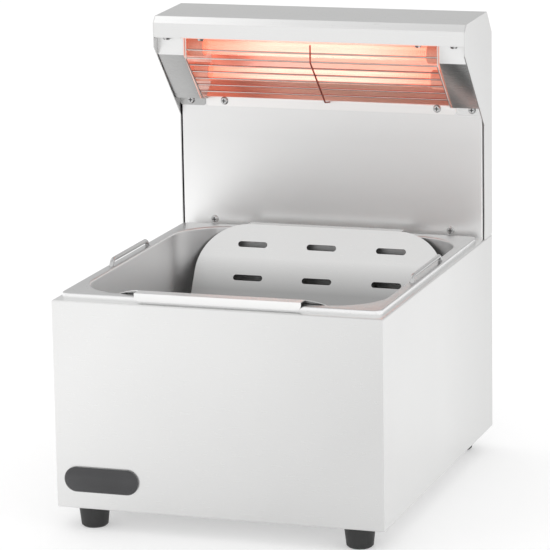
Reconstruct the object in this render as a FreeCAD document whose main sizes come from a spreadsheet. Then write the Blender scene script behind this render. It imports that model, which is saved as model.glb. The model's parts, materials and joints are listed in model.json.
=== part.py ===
# Counter-top chip warmer: a sheet steel housing that holds a lift-out pan with a curved, slotted
# insert, and a rear column with a hood that shines two quartz tubes down on the food.
# All lengths are millimetres. X runs to the right, Y from the front to the back, Z up from the floor.
# Pieces are drawn with Y = 0 on the front face of the housing, and each Placement then moves them
# back so that the origin lies under the middle of the whole object.
import FreeCAD, Part
import math
import os

import Sketcher
from FreeCAD import Placement, Rotation, Vector

# Driving sizes, one cell of the sheet each

SIZES = {
    # Housing
    "overall_width": 335.0,
    "overall_depth": 405.0,
    "housing_height": 208.0,
    "panel_sheet": 1.0,
    "bend_radius": 1.5,
    "side_ledge": 7.0,
    "front_ledge": 13.0,
    "rear_ledge": 13.1,
    "bottom_flange": 48.0,
    "rear_flange": 12.0,
    "rear_panel_seam": 0.5,
    "cable_hole_width": 60.0,
    "cable_hole_depth": 14.0,
    "cut_overrun": 1.0,
    # Feet and floor of the housing
    "foot_height": 22.0,
    "foot_top_width": 31.0,
    "foot_bottom_width": 26.0,
    "foot_bevel": 2.0,
    "foot_recess_width": 11.0,
    "foot_recess_depth": 10.0,
    "foot_inset_side": 31.0,
    "foot_inset_front": 20.7,
    "foot_screw_width": 5.0,
    "foot_nut_height": 4.0,
    "foot_nut_width": 9.0,
    "plate_clearance": 0.5,
    "floor_slot_length": 60.0,
    "floor_slot_width": 5.0,
    "floor_slot_pitch": 18.0,
    # Badge
    "badge_length": 77.0,
    "badge_height": 25.0,
    "badge_thickness": 3.0,
    "badge_bevel": 1.2,
    "badge_from_side": 47.6,
    "badge_from_bottom": 30.0,
    # Column and hood
    "column_depth": 30.0,
    "column_height": 238.0,
    "column_panel_headroom": 98.0,
    "column_panel_gap": 1.2,
    "column_panel_return": 12.0,
    "hood_overhang": 76.5,
    "hood_fall": 2.5,
    "lip_chamfer": 6.5,
    "lip_height": 21.2,
    "lip_end_gap": 0.7,
    "side_flange": 10.0,
    "side_front_height": 34.0,
    "side_slope_height": 117.5,
    "rear_chamfer_run": 19.0,
    "rear_chamfer_height": 23.5,
    "cover_seam": 1.2,
    "relief_notch": 2.5,
    "louvre_length": 90.0,
    "louvre_width": 3.0,
    "louvre_pitch": 9.0,
    "bracket_height": 16.0,
    "bracket_depth": 16.0,
    "bracket_inset": 22.5,
    # Lamp housing in the hood
    "lamp_sheet": 0.8,
    "cheek_width": 28.5,
    "cheek_setback": 10.5,
    "cheek_front_height": 43.5,
    "cheek_foot_setback": 17.0,
    "cheek_foot_height": 97.0,
    "cheek_flange_height": 10.0,
    "tab_setback": 1.5,
    "flange_round": 3.0,
    "strip_gap": 1.0,
    "reflector_rise": 12.0,
    "reflector_back_gap": 12.0,
    "reflector_corner": 16.0,
    "tube_width": 16.0,
    "tube_wall": 1.2,
    "tube_inset": 35.5,
    "tube_setback": 30.5,
    "tube_drop": 37.0,
    "tube_spacing_back": 16.0,
    "tube_spacing_down": 29.0,
    "coil_width": 7.0,
    "coil_end_gap": 13.0,
    "cap_width": 20.0,
    "cap_length": 30.0,
    "cap_socket": 10.0,
    "cap_bevel": 1.5,
    "cap_clearance": 0.1,
    "lead_width": 5.0,
    "guard_wire": 1.8,
    "guard_gap": 0.3,
    "guard_bend": 3.0,
    "guard_knee_drop": 47.5,
    "guard_pitch": 11.6,
    "guard_top_bar_rise": 9.5,
    "guard_foot_rise": 0.6,
    "guard_end_drop": 1.5,
    "guard_centre_gap": 4.5,
    "guard_bite": 0.5,
    # Pan
    "pan_side_margin": 5.0,
    "pan_end_margin": 10.5,
    "pan_depth": 150.0,
    "pan_sheet": 0.8,
    "pan_rim_side": 10.75,
    "pan_rim_end": 12.0,
    "pan_corner": 52.0,
    "rim_corner": 9.0,
    "rim_height": 5.5,
    "rim_round": 1.6,
    "rim_inner_round": 1.6,
    "pan_draft": 1.2,
    "pan_bottom_round": 12.0,
    # Pan handles
    "handle_wire": 4.5,
    "handle_span": 103.0,
    "handle_rise": 6.0,
    "handle_bend": 7.5,
    "handle_leg": 36.5,
    "handle_clearance": 0.3,
    "handle_from_rim": 5.5,
    "stop_width": 6.0,
    "stop_height": 4.5,
    "stop_rise": 3.0,
    # Curved insert
    "insert_sheet": 1.0,
    "insert_side_gap": 15.75,
    "insert_front_gap": 10.7,
    "insert_back_gap": 14.5,
    "insert_slope": 60.0,
    "insert_floor_gap": 0.3,
    "insert_corner": 54.0,
    "hook_inset": 51.5,
    "hook_rise": 4.2,
    "hook_overlap": 6.0,
    "hook_corner": 5.5,
    "front_lip_reach": 13.2,
    "front_lip_height": 7.9,
    "rear_hook_reach": 10.5,
    "rear_hook_height": 3.9,
    "slot_length": 32.4,
    "slot_width": 6.4,
    "slot_column_pitch": 76.0,
    "slot_first_row": 22.5,
    "slot_middle_gap": 29.82,
    # Screws
    "screw_width": 4.0,
    "screw_head_width": 8.6,
    "screw_head_height": 2.4,
    "screw_crown_width": 6.4,
    "screw_length": 8.0,
    "recess_length": 4.4,
    "recess_width": 1.0,
    "recess_depth": 1.2,
    "lamp_screw_outer_inset": 12.1,
    "lamp_screw_inner_inset": 21.2,
    "lamp_screw_drop": 4.2,
    "hood_screw_setback": 6.0,
    "column_screw_inset": 36.9,
    "column_screw_rise": 8.2,
    "rear_screw_inset": 6.0,
    "rear_screw_margin": 18.0,
    # Electrical parts in the rear bay
    "partition_setback": 6.0,
    "partition_flange": 8.0,
    "switch_inset": 71.5,
    "switch_rise": 140.0,
    "bezel_width": 21.0,
    "bezel_height": 30.0,
    "bezel_thickness": 2.0,
    "bezel_round": 0.8,
    "switch_body_width": 18.0,
    "switch_body_height": 27.0,
    "switch_body_depth": 18.0,
    "switch_pocket_depth": 8.0,
    "rocker_width": 14.0,
    "rocker_height": 22.0,
    "rocker_depth": 3.4,
    "rocker_rise": 3.6,
    "rocker_dip": 1.2,
    "rocker_sink": 1.5,
    "rocker_tilt": 12.0,
    "rocker_side_gap": 0.4,
    "rocker_end_gap": 1.0,
    "rocker_pin_width": 3.0,
    "rocker_pin_reach": 1.0,
    "pin_clearance": 0.05,
    "gland_inset": 56.5,
    "gland_rise": 40.0,
    "gland_width": 24.0,
    "gland_cap_width": 18.0,
    "gland_collar": 5.0,
    "gland_reach": 12.0,
    "gland_bore": 9.0,
    "gland_thread_width": 16.0,
    "gland_thread_length": 10.0,
    "gland_nut_width": 23.0,
    "gland_nut_height": 4.0,
    "block_length": 50.0,
    "block_depth": 16.0,
    "block_height": 18.0,
    "block_step_depth": 4.0,
    "block_step_height": 6.0,
    "block_pole_pitch": 14.0,
    "block_pole_width": 5.0,
    "block_pole_depth": 8.0,
}

# How many there are of what repeats

FLOOR_SLOT_ROWS = 7
LOUVRE_ROWS = 8
GUARD_SLOPE_BARS = 6
INSERT_ROWS = 6
NUT_FLATS = 6

# Places worked out from the driving sizes

PLACES = {
    "half_width": "{overall_width} / 2",
    "inside_half_width": "{half_width} - {panel_sheet}",
    "housing_top": "{foot_height} + {housing_height}",
    "shell_back": "{overall_depth} - {panel_sheet}",
    "sheet_cut": "{panel_sheet} + 2 * {cut_overrun}",
    "plate_cut": "3 * {panel_sheet} + 2 * {cut_overrun}",
    "foot_bolt": "{floor_top} + {foot_nut_height} - {foot_recess_depth}",
    "floor_top": "{foot_height} + 2 * {panel_sheet}",
    "column_front": "{overall_depth} - {column_depth}",
    "hood_top": "{housing_top} + {column_height}",
    "column_panel_height": "{column_height} - {column_panel_headroom}",
    "hood_front": "{column_front} - {hood_overhang}",
    "lip_top": "{hood_top} - {hood_fall}",
    "lip_bottom": "{lip_top} - {lip_height}",
    "tab_face": "{lip_bottom} - {lamp_sheet}",
    "tab_front": "{hood_front} + {tab_setback}",
    "side_knee": "{hood_top} - {side_front_height}",
    "side_slope_foot": "{hood_top} - {side_slope_height}",
    "chamfer_front": "{overall_depth} - {rear_chamfer_run}",
    "chamfer_foot": "{hood_top} - {rear_chamfer_height}",
    "cheek_front": "{hood_front} + {cheek_setback}",
    "cheek_knee": "{hood_top} - {cheek_front_height}",
    "cheek_foot_front": "{column_front} - {cheek_foot_setback}",
    "cheek_foot": "{hood_top} - {cheek_foot_height}",
    "flange_face": "{column_front} - {lamp_sheet}",
    "opening_half_width": "{inside_half_width} - {cheek_width}",
    "strip_half_width": "{opening_half_width} - {strip_gap}",
    "tube_length": "2 * ({inside_half_width} - {tube_inset})",
    "coil_length": "{tube_length} - 2 * {coil_end_gap}",
    "upper_tube_y": "{hood_front} + {tube_setback}",
    "upper_tube_z": "{hood_top} - {tube_drop}",
    "lower_tube_y": "{upper_tube_y} + {tube_spacing_back}",
    "lower_tube_z": "{upper_tube_z} - {tube_spacing_down}",
    "reflector_back": "{overall_depth} - {reflector_back_gap}",
    "reflector_top": "{tab_face} + {reflector_rise}",
    "rim_top": "{housing_top} + {rim_height}",
    "pan_width": "{overall_width} - 2 * {pan_side_margin}",
    "pan_front": "{pan_end_margin}",
    "pan_back": "{column_front} - {pan_end_margin}",
    "pan_middle": "{column_front} / 2",
    "pan_floor": "{rim_top} - {pan_depth} + {pan_sheet}",
    "opening_back": "{column_front} - {rear_ledge}",
    "partition_y": "{opening_back} + {partition_setback}",
    "handle_x": "{pan_width} / 2 - {handle_from_rim}",
    "handle_hole_width": "({handle_wire} + 2 * {handle_clearance})",
    "handle_top": "{rim_top} + {handle_rise}",
    "handle_foot": "{handle_top} - {handle_leg}",
    "well_half_width": "{pan_width} / 2 - {pan_rim_side}",
    "well_front": "{pan_front} + {pan_rim_end}",
    "well_back": "{pan_back} - {pan_rim_end}",
    "hook_top": "{rim_top} + {hook_rise}",
    "insert_width": "2 * ({well_half_width} - {insert_side_gap})",
    "insert_front": "{pan_front} + {insert_front_gap}",
    "insert_back": "{pan_back} - {insert_back_gap}",
    "insert_middle": "({insert_front} + {insert_back}) / 2",
    "insert_half_span": "({insert_back} - {insert_front}) / 2",
    "hook_width": "{insert_width} - 2 * {hook_inset}",
    "insert_floor": "{pan_floor} + {insert_floor_gap} + {insert_sheet}",
    "flank_base": "{hook_top} - {insert_half_span} * tan({insert_slope})",
    "insert_radius": "({insert_floor} - {flank_base}) * cos({insert_slope}) / (1 - cos({insert_slope}))",
    "arc_reach": "{insert_radius} * sin({insert_slope})",
    "arc_end": "{insert_floor} + {insert_radius} * (1 - cos({insert_slope}))",
    "insert_flank": "({insert_half_span} - {arc_reach}) / cos({insert_slope})",
    "insert_run": "{insert_flank} + {insert_radius} * {insert_slope} * pi / 180",
    "slot_row_pitch": "({insert_run} - {slot_first_row} - {slot_middle_gap}) / " + str(INSERT_ROWS - 1),
    "guard_plane": "{cheek_front} + {guard_wire} / 2",
    "guard_knee": "{hood_top} - {guard_knee_drop}",
    "guard_half_width": "{strip_half_width} - {guard_gap} - {guard_wire} / 2",
    "rear_screw_x": "{half_width} - {rear_screw_inset}",
    "switch_across": "{inside_half_width} - {switch_inset}",
    "gland_across": "{inside_half_width} - {gland_inset}",
    "switch_z": "{foot_height} + {switch_rise}",
    "rocker_pivot": "{overall_depth} + {bezel_thickness} - {rocker_sink}",
    "gland_z": "{foot_height} + {gland_rise}",
    "bay_middle": "({partition_y} + {panel_sheet} + {shell_back}) / 2",
    "lamp_screw_outer": "{inside_half_width} - {lamp_screw_outer_inset}",
    "lamp_screw_inner": "{opening_half_width} - {lamp_screw_inner_inset}",
    "lamp_screw_z": "{cheek_foot} - {lamp_screw_drop}",
    "column_screw_across": "{half_width} - {column_screw_inset}",
    "bracket_width": "2 * ({half_width} - {bracket_inset})",
    "column_screw_z": "{housing_top} + {column_screw_rise}",
    "depth_shift": "({overall_depth} + {gland_reach} - {badge_thickness}) / 2",
}

# Document, sheet and formulas

doc = FreeCAD.newDocument("chip_warmer")
sheet = doc.addObject("Spreadsheet::Sheet", "Sizes")
for row, (alias, number) in enumerate(SIZES.items(), start=1):
    sheet.set(f"A{row}", alias)
    sheet.set(f"B{row}", str(number))
    sheet.setAlias(f"B{row}", alias)
doc.recompute()


class Names(dict):
    """Turns a name in braces into its cell, or into the formula of a place in brackets."""

    def __missing__(self, name):
        if name in PLACES:
            return "(" + PLACES[name].format_map(self) + ")"
        if name in SIZES:
            return "Sizes." + name
        raise KeyError(name)


def formula(text):
    return text.format_map(Names())


def size(text):
    """The number that a formula in names gives now."""
    return float(sheet.evalExpression(formula(text)))


def bind(thing, prop, text):
    thing.setExpression(prop, formula(text))


# Directions. ACROSS turns a flat drawing's X, Y and normal onto the part's Y, Z and X.

ACROSS = Rotation(Vector(0, 1, 0), Vector(0, 0, 1), Vector(1, 0, 0), "ZXY")
BACKWARD = Vector(0, 1, 0)
UPWARD = Vector(0, 0, 1)
RIGHT = Vector(1, 0, 0)

pieces = []


def piece(thing, label, x="0", y="-{depth_shift}", z="0"):
    """Names a finished sub-part and gives it its place in the whole object."""
    thing.Label = label
    bind(thing, "Placement.Base.x", x)
    bind(thing, "Placement.Base.y", y)
    bind(thing, "Placement.Base.z", z)
    pieces.append(thing)
    return thing


# Drawing helpers

def fix_point(sketch, element, end, across, along):
    """Ties a point of a drawing to the sheet, measured from the drawing's origin."""
    for kind, text in (("DistanceX", across), ("DistanceY", along)):
        number = size(text)
        index = sketch.addConstraint(Sketcher.Constraint(kind, -1, 1, element, end, number))
        bind(sketch, f"Constraints[{index}]", text)


def draw_path(sketch, corners, closed):
    """Straight edges through corners that are given as pairs of formulas."""
    spots = [Vector(size(across), size(along), 0) for across, along in corners]
    count = len(spots) if closed else len(spots) - 1
    start = sketch.GeometryCount
    for index in range(count):
        following = spots[(index + 1) % len(spots)]
        sketch.addGeometry(Part.LineSegment(spots[index], following), False)
    for index in range(count if closed else count - 1):
        following = start + (index + 1) % count
        sketch.addConstraint(Sketcher.Constraint("Coincident", start + index, 2, following, 1))
    for index, (across, along) in enumerate(corners):
        if index < count:
            fix_point(sketch, start + index, 1, across, along)
        else:
            fix_point(sketch, start + index - 1, 2, across, along)


def draw_box(sketch, left, right, low, high):
    draw_path(sketch, [(left, low), (right, low), (right, high), (left, high)], closed=True)


def draw_circle(sketch, across, along, width):
    centre = Vector(size(across), size(along), 0)
    index = sketch.addGeometry(Part.Circle(centre, UPWARD, size(width) / 2), False)
    fix_point(sketch, index, 3, across, along)
    radius = sketch.addConstraint(Sketcher.Constraint("Radius", index, size(width) / 2))
    bind(sketch, f"Constraints[{radius}]", f"({width}) / 2")


def draw_rounded_box(sketch, left, right, low, high, radius):
    """A rectangle with four equal round corners, drawn as lines and tangent arcs."""
    x0, x1, y0, y1, r = (size(text) for text in (left, right, low, high, radius))
    quarter = math.pi / 2
    start = sketch.GeometryCount
    sides = [((x0 + r, y0), (x1 - r, y0)), ((x1, y0 + r), (x1, y1 - r)),
             ((x1 - r, y1), (x0 + r, y1)), ((x0, y1 - r), (x0, y0 + r))]
    turns = [(x1 - r, y0 + r, -quarter), (x1 - r, y1 - r, 0.0),
             (x0 + r, y1 - r, quarter), (x0 + r, y0 + r, 2 * quarter)]
    for side, (cx, cy, angle) in zip(sides, turns):
        sketch.addGeometry(Part.LineSegment(Vector(*side[0], 0), Vector(*side[1], 0)), False)
        circle = Part.Circle(Vector(cx, cy, 0), UPWARD, r)
        sketch.addGeometry(Part.ArcOfCircle(circle, angle, angle + quarter), False)
    edges = len(sides) + len(turns)
    for index in range(edges):
        here = start + index
        following = start + (index + 1) % edges
        sketch.addConstraint(Sketcher.Constraint("Tangent", here, 2, following, 1))
    for index in range(len(sides)):
        kind = "Vertical" if index % 2 else "Horizontal"
        sketch.addConstraint(Sketcher.Constraint(kind, start + 2 * index))
    first_arc = start + 1
    for index in range(1, len(turns)):
        sketch.addConstraint(Sketcher.Constraint("Equal", first_arc, first_arc + 2 * index))
    held = (("DistanceY", start, low), ("DistanceX", start + 2, right),
            ("DistanceY", start + 4, high), ("DistanceX", start + 6, left))
    for kind, element, text in held:
        index = sketch.addConstraint(Sketcher.Constraint(kind, -1, 1, element, 1, size(text)))
        bind(sketch, f"Constraints[{index}]", text)
    index = sketch.addConstraint(Sketcher.Constraint("Radius", first_arc, r))
    bind(sketch, f"Constraints[{index}]", radius)


def half_ring(across, along, radius, start, end):
    """Half of a circle, from one angle to another."""
    return Part.ArcOfCircle(Part.Circle(Vector(across, along, 0), UPWARD, radius), start, end)


def draw_stadium(sketch, across, along, length, width):
    """A level slot with round ends around a centre."""
    cx, cy, r = size(across), size(along), size(width) / 2
    reach = (size(length) - size(width)) / 2
    quarter = math.pi / 2
    start = sketch.GeometryCount
    low = Part.LineSegment(Vector(cx - reach, cy - r, 0), Vector(cx + reach, cy - r, 0))
    high = Part.LineSegment(Vector(cx + reach, cy + r, 0), Vector(cx - reach, cy + r, 0))
    right_end = half_ring(cx + reach, cy, r, -quarter, quarter)
    left_end = half_ring(cx - reach, cy, r, quarter, 3 * quarter)
    for edge in (low, right_end, high, left_end):
        sketch.addGeometry(edge, False)
    for index in range(4):
        following = start + (index + 1) % 4
        sketch.addConstraint(Sketcher.Constraint("Tangent", start + index, 2, following, 1))
    sketch.addConstraint(Sketcher.Constraint("Horizontal", start))
    index = sketch.addConstraint(Sketcher.Constraint("Radius", start + 1, r))
    bind(sketch, f"Constraints[{index}]", f"({width}) / 2")
    half = f"(({length}) - ({width})) / 2"
    fix_point(sketch, start + 1, 3, f"({across}) + {half}", along)
    left_x = f"({across}) - {half}"
    index = sketch.addConstraint(Sketcher.Constraint("DistanceX", -1, 1, start + 3, 3, cx - reach))
    bind(sketch, f"Constraints[{index}]", left_x)


# Feature helpers

def new_body(name):
    return doc.addObject("PartDesign::Body", name)


def new_sketch(body, name, plane, offset="0"):
    """A drawing on one of the body's own planes, moved along the plane's normal."""
    sketch = body.newObject("Sketcher::SketchObject", name)
    roles = {feature.Role: feature for feature in body.Origin.OriginFeatures}
    sketch.AttachmentSupport = [(roles[plane], "")]
    sketch.MapMode = "FlatFace"
    bind(sketch, "AttachmentOffset.Base.z", offset)
    return sketch


def extrude(body, kind, name, sketch, length, backwards=False, centred=False):
    """A Pad or a Pocket of a drawing."""
    feature = body.newObject("PartDesign::" + kind, name)
    feature.Profile = sketch
    bind(feature, "Length", length)
    feature.Reversed = backwards
    if centred:
        feature.Midplane = True
    sketch.Visibility = False
    return feature


def edges_where(shape, test):
    return [f"Edge{index}" for index, edge in enumerate(shape.Edges, start=1) if test(edge)]


def soften_edges(body, kind, name, test, prop, amount):
    """Adds a feature of a kind on the edges of the body's last feature that a test picks."""
    doc.recompute()
    base = body.Tip
    chosen = edges_where(base.Shape, test)
    feature = body.newObject(kind, name)
    feature.Base = (base, chosen)
    bind(feature, prop, amount)
    return feature


def round_edges(body, name, radius, test):
    return soften_edges(body, "PartDesign::Fillet", name, test, "Radius", radius)


def bevel_edges(body, name, width, test):
    return soften_edges(body, "PartDesign::Chamfer", name, test, "Size", width)


TOUCH = 1e-3


def near(first, second):
    return abs(first - second) < TOUCH


def middle(edge):
    return edge.BoundBox.Center


def upright(edge):
    box = edge.BoundBox
    return box.XLength < TOUCH and box.YLength < TOUCH


def bent_sheet(name, corners, thickness, width, left=True):
    """A folded strip: a path in the Y-Z plane, made thick on its left or right, and run across."""
    path = doc.addObject("Sketcher::SketchObject", name + "_path")
    path.Placement = Placement(Vector(), ACROSS)
    draw_path(path, corners, closed=False)
    return run_across(name, path, corners[:2], thickness, width, left)


def run_across(name, path, first_edge, thickness, width, left):
    skin = doc.addObject("Part::Offset2D", name + "_skin")
    skin.Source = path
    skin.Mode = "Skin"
    skin.Join = "Intersection"
    skin.Fill = True
    bind(skin, "Value", thickness)
    doc.recompute()
    first, second = (Vector(0, size(across), size(along)) for across, along in first_edge)
    step = (second - first).normalize()
    aside = Vector(0, -step.z, step.y) * (size(thickness) / 2)
    probe = (first + second) / 2 + (aside if left else -aside)
    if not skin.Shape.Faces[0].isInside(probe, TOUCH, True):
        bind(skin, "Value", f"-({thickness})")
    run = doc.addObject("Part::Extrusion", name)
    run.Base = skin
    run.DirMode = "Custom"
    run.Dir = RIGHT
    bind(run, "LengthFwd", width)
    run.Solid = True
    return run


def flat_plate(name, corners, thickness):
    """A flat plate square to X, with its outline in the Y-Z plane."""
    outline = doc.addObject("Sketcher::SketchObject", name + "_outline")
    outline.Placement = Placement(Vector(), ACROSS)
    draw_path(outline, corners, closed=True)
    plate = doc.addObject("Part::Extrusion", name)
    plate.Base = outline
    plate.DirMode = "Custom"
    plate.Dir = RIGHT
    bind(plate, "LengthFwd", thickness)
    plate.Solid = True
    return plate


def cut(name, base, tool):
    result = doc.addObject("Part::Cut", name)
    result.Base = base
    result.Tool = tool
    return result


def gathered(name, shapes):
    """A feature that holds shapes worked out from the sheet."""
    feature = doc.addObject("Part::Feature", name)
    feature.Shape = shapes[0] if len(shapes) == 1 else Part.makeCompound(shapes)
    return feature


def rod(start, end, width):
    direction = end - start
    return Part.makeCylinder(width / 2, direction.Length, start, direction)


def drilled(name, base, spots, axis, width="{screw_width}"):
    """Round holes right through a thin piece at the given spots."""
    reach = size("{screw_length}")
    drills = [rod(spot - axis * reach, spot + axis * reach, size(width)) for spot in spots]
    return cut(name, base, gathered(name + "_drills", drills))


def corner_cutter(half_width, radius, depth, side, inward):
    """What lies outside a round corner of a plate whose edge is on Y = 0.

    The plate lies towards positive Y if inward is 1 and towards negative Y if it is -1.
    """
    margin = size("{cut_overrun}")
    centre = Vector(side * (half_width - radius), inward * radius, 0)
    edge = Vector(centre.x, 0, 0)
    flank = Vector(side * half_width, centre.y, 0)
    diagonal = Vector(side, -inward, 0).normalize()
    arc = Part.Arc(flank, centre + diagonal * radius, edge).toShape()
    beyond = side * (half_width + margin)
    corners = [edge, Vector(edge.x, -inward * margin, 0), Vector(beyond, -inward * margin, 0),
               Vector(beyond, flank.y, 0), flank]
    lines = [Part.LineSegment(first, second).toShape() for first, second in zip(corners, corners[1:])]
    face = Part.Face(Part.Wire(lines + [arc]))
    face.translate(Vector(0, 0, -depth / 2))
    return face.extrude(UPWARD * depth)


def rounded_foot(name, base, middle_x, along, height, width, radius):
    """Rounds the two lower corners of an upright flange."""
    place = Placement(Vector(size(middle_x), size(along), size(height)), Rotation(RIGHT, 90))
    cutters = []
    for side in (-1, 1):
        corner = corner_cutter(size(width) / 2, size(radius), size("{screw_width}"), side, 1)
        corner.Placement = place
        cutters.append(corner)
    return cut(name, base, gathered(name + "_corners", cutters))


def on_both_sides(across, along, height):
    """The same spot on the left and on the right."""
    return [Vector(sign * size(across), size(along), size(height)) for sign in (-1, 1)]


def wire_along(spots, width, bend):
    """A round wire through spots, with tangent arcs at the corners."""
    edges = []
    at = spots[0]
    for before, corner, after in zip(spots, spots[1:], spots[2:]):
        arrive = (before - corner).normalize()
        leave = (after - corner).normalize()
        half_turn = (math.pi - arrive.getAngle(leave)) / 2
        back = bend * math.tan(half_turn)
        entry = corner + arrive * back
        leaving = corner + leave * back
        inside = (arrive + leave).normalize()
        centre = corner + inside * (bend / math.cos(half_turn))
        edges.append(Part.LineSegment(at, entry).toShape())
        edges.append(Part.Arc(entry, centre - inside * bend, leaving).toShape())
        at = leaving
    edges.append(Part.LineSegment(at, spots[-1]).toShape())
    spine = Part.Wire(edges)
    ring = Part.Wire([Part.makeCircle(width / 2, spots[0], spots[1] - spots[0])])
    return spine.makePipeShell([ring], True, False)


def screw(head_at, axis, length="{screw_length}", width="{screw_width}"):
    """A screw with a low tapered head: head_at is under the head, and axis points out of the head."""
    edge, rise = size("{screw_head_width}") / 2, size("{screw_head_height}")
    head = Part.makeCone(edge, size("{screw_crown_width}") / 2, rise)
    shank = Part.makeCylinder(size(width) / 2, size(length), Vector(0, 0, -size(length)))
    solid = shank.fuse(head)
    reach, slit = size("{recess_length}"), size("{recess_width}")
    low = Vector(0, 0, rise - size("{recess_depth}"))
    for long_side, wide_side in ((reach, slit), (slit, reach)):
        corner = low - Vector(long_side / 2, wide_side / 2, 0)
        solid = solid.cut(Part.makeBox(long_side, wide_side, rise, corner))
    solid.Placement = Placement(head_at, Rotation(UPWARD, axis))
    return solid


def screws(name, spots, axis):
    """A group of equal screws, each a solid of its own."""
    return gathered(name, [screw(spot, axis) for spot in spots])


# Heights of the screws of the two rear panels

LOWER_SCREW_HEIGHTS = ("{foot_height} + {rear_screw_margin}", "({foot_height} + {housing_top}) / 2",
                       "{housing_top} - {rear_screw_margin}")
COVER_SCREW_HEIGHTS = ("{housing_top} + {rear_screw_margin}", "({housing_top} + {chamfer_foot}) / 2",
                       "{chamfer_foot} - {rear_screw_margin}")


def rear_screw_spots(heights, along):
    return [spot for height in heights for spot in on_both_sides("{rear_screw_x}", along, height)]


def draw_rear_holes(sketch, heights):
    for height in heights:
        for sign in ("-", ""):
            draw_circle(sketch, sign + "{rear_screw_x}", height, "{screw_width}")


# Housing shell: front and sides folded from one sheet, a ledge round the pan and flanges below

def make_housing_shell():
    body = new_body("housing_shell_body")
    blank = new_sketch(body, "shell_blank", "XY_Plane", "{foot_height}")
    draw_box(blank, "-{half_width}", "{half_width}", "0", "{shell_back}")
    extrude(body, "Pad", "shell_block", blank, "{housing_height}")
    front_folds = lambda edge: upright(edge) and near(middle(edge).y, 0)
    round_edges(body, "front_folds", "{bend_radius}", front_folds)
    bottom, top = size("{foot_height}"), size("{housing_top}")
    rear = size("{shell_back}")
    rims = lambda edge: (near(edge.BoundBox.ZLength, 0) and middle(edge).y < rear - TOUCH
                         and (near(middle(edge).z, bottom) or near(middle(edge).z, top)))
    round_edges(body, "rim_folds", "{bend_radius}", rims)
    cavity = new_sketch(body, "shell_cavity", "XY_Plane", "{foot_height} + {panel_sheet}")
    draw_box(cavity, "-{inside_half_width}", "{inside_half_width}", "{panel_sheet}",
             "{shell_back} - {panel_sheet}")
    extrude(body, "Pocket", "shell_hollow", cavity, "{housing_height} - 2 * {panel_sheet}", backwards=True)
    well = new_sketch(body, "pan_opening", "XY_Plane", "{housing_top} + {cut_overrun}")
    draw_rounded_box(well, "-({half_width} - {side_ledge})", "{half_width} - {side_ledge}", "{front_ledge}",
                     "{opening_back}", "{rim_corner}")
    extrude(body, "Pocket", "pan_opening_cut", well, "{sheet_cut}")
    cable = new_sketch(body, "cable_opening", "XY_Plane", "{housing_top} + {cut_overrun}")
    draw_box(cable, "-{cable_hole_width} / 2", "{cable_hole_width} / 2",
             "{overall_depth} - {column_depth} / 2 - {cable_hole_depth} / 2 + {panel_sheet} * 2",
             "{overall_depth} - {column_depth} / 2 + {cable_hole_depth} / 2 - {panel_sheet} * 2")
    extrude(body, "Pocket", "cable_opening_cut", cable, "{sheet_cut}")
    base = new_sketch(body, "base_opening", "XY_Plane", "{foot_height} - {cut_overrun}")
    draw_box(base, "-({half_width} - {bottom_flange})", "{half_width} - {bottom_flange}",
             "{bottom_flange}", "{shell_back} - {bottom_flange}")
    extrude(body, "Pocket", "base_opening_cut", base, "{sheet_cut}", backwards=True)
    back = new_sketch(body, "rear_opening", "XZ_Plane", "-({shell_back} + {cut_overrun})")
    draw_box(back, "-({half_width} - {rear_flange})", "{half_width} - {rear_flange}",
             "{foot_height} + {rear_flange}", "{housing_top} - {rear_flange}")
    extrude(body, "Pocket", "rear_opening_cut", back, "{sheet_cut}", backwards=True)
    feet = new_sketch(body, "shell_foot_holes", "XY_Plane", "{foot_height} - {cut_overrun}")
    for across, along in FOOT_PLACES.values():
        draw_circle(feet, across, along, "{foot_screw_width}")
    extrude(body, "Pocket", "shell_foot_cuts", feet, "{sheet_cut}", backwards=True)
    rear_holes = new_sketch(body, "shell_rear_holes", "XZ_Plane", "-({shell_back} + {cut_overrun})")
    draw_rear_holes(rear_holes, LOWER_SCREW_HEIGHTS)
    extrude(body, "Pocket", "shell_rear_cuts", rear_holes, "{sheet_cut}", backwards=True)
    piece(body, "housing_shell")


# Floor plate with cooling slots, lying on the flanges of the shell

def make_base_plate():
    body = new_body("base_plate_body")
    side = "{inside_half_width} - {plate_clearance}"
    plate = new_sketch(body, "base_outline", "XY_Plane", "{foot_height} + {panel_sheet}")
    draw_box(plate, f"-({side})", side, "{panel_sheet} + {plate_clearance}",
             "{shell_back} - {panel_sheet} - {plate_clearance}")
    extrude(body, "Pad", "base_sheet", plate, "{panel_sheet}")
    slots = new_sketch(body, "floor_slots", "XY_Plane", "{foot_height} - {cut_overrun}")
    for sign in ("-", ""):
        across = sign + "{floor_slot_length}"
        for row in range(FLOOR_SLOT_ROWS):
            along = f"{{pan_middle}} + {row - FLOOR_SLOT_ROWS // 2} * {{floor_slot_pitch}}"
            draw_stadium(slots, across, along, "{floor_slot_length}", "{floor_slot_width}")
    extrude(body, "Pocket", "floor_slot_cuts", slots, "{plate_cut}", backwards=True)
    holes = new_sketch(body, "foot_screw_holes", "XY_Plane", "{foot_height} - {cut_overrun}")
    for across, along in FOOT_PLACES.values():
        draw_circle(holes, across, along, "{foot_screw_width}")
    extrude(body, "Pocket", "foot_screw_cuts", holes, "{plate_cut}", backwards=True)
    piece(body, "base_plate")


FOOT_PLACES = {
    "front_left_foot": ("-({half_width} - {foot_inset_side})", "{foot_inset_front}"),
    "front_right_foot": ("{half_width} - {foot_inset_side}", "{foot_inset_front}"),
    "rear_left_foot": ("-({half_width} - {foot_inset_side})", "{overall_depth} - {foot_inset_front}"),
    "rear_right_foot": ("{half_width} - {foot_inset_side}", "{overall_depth} - {foot_inset_front}"),
}


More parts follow.
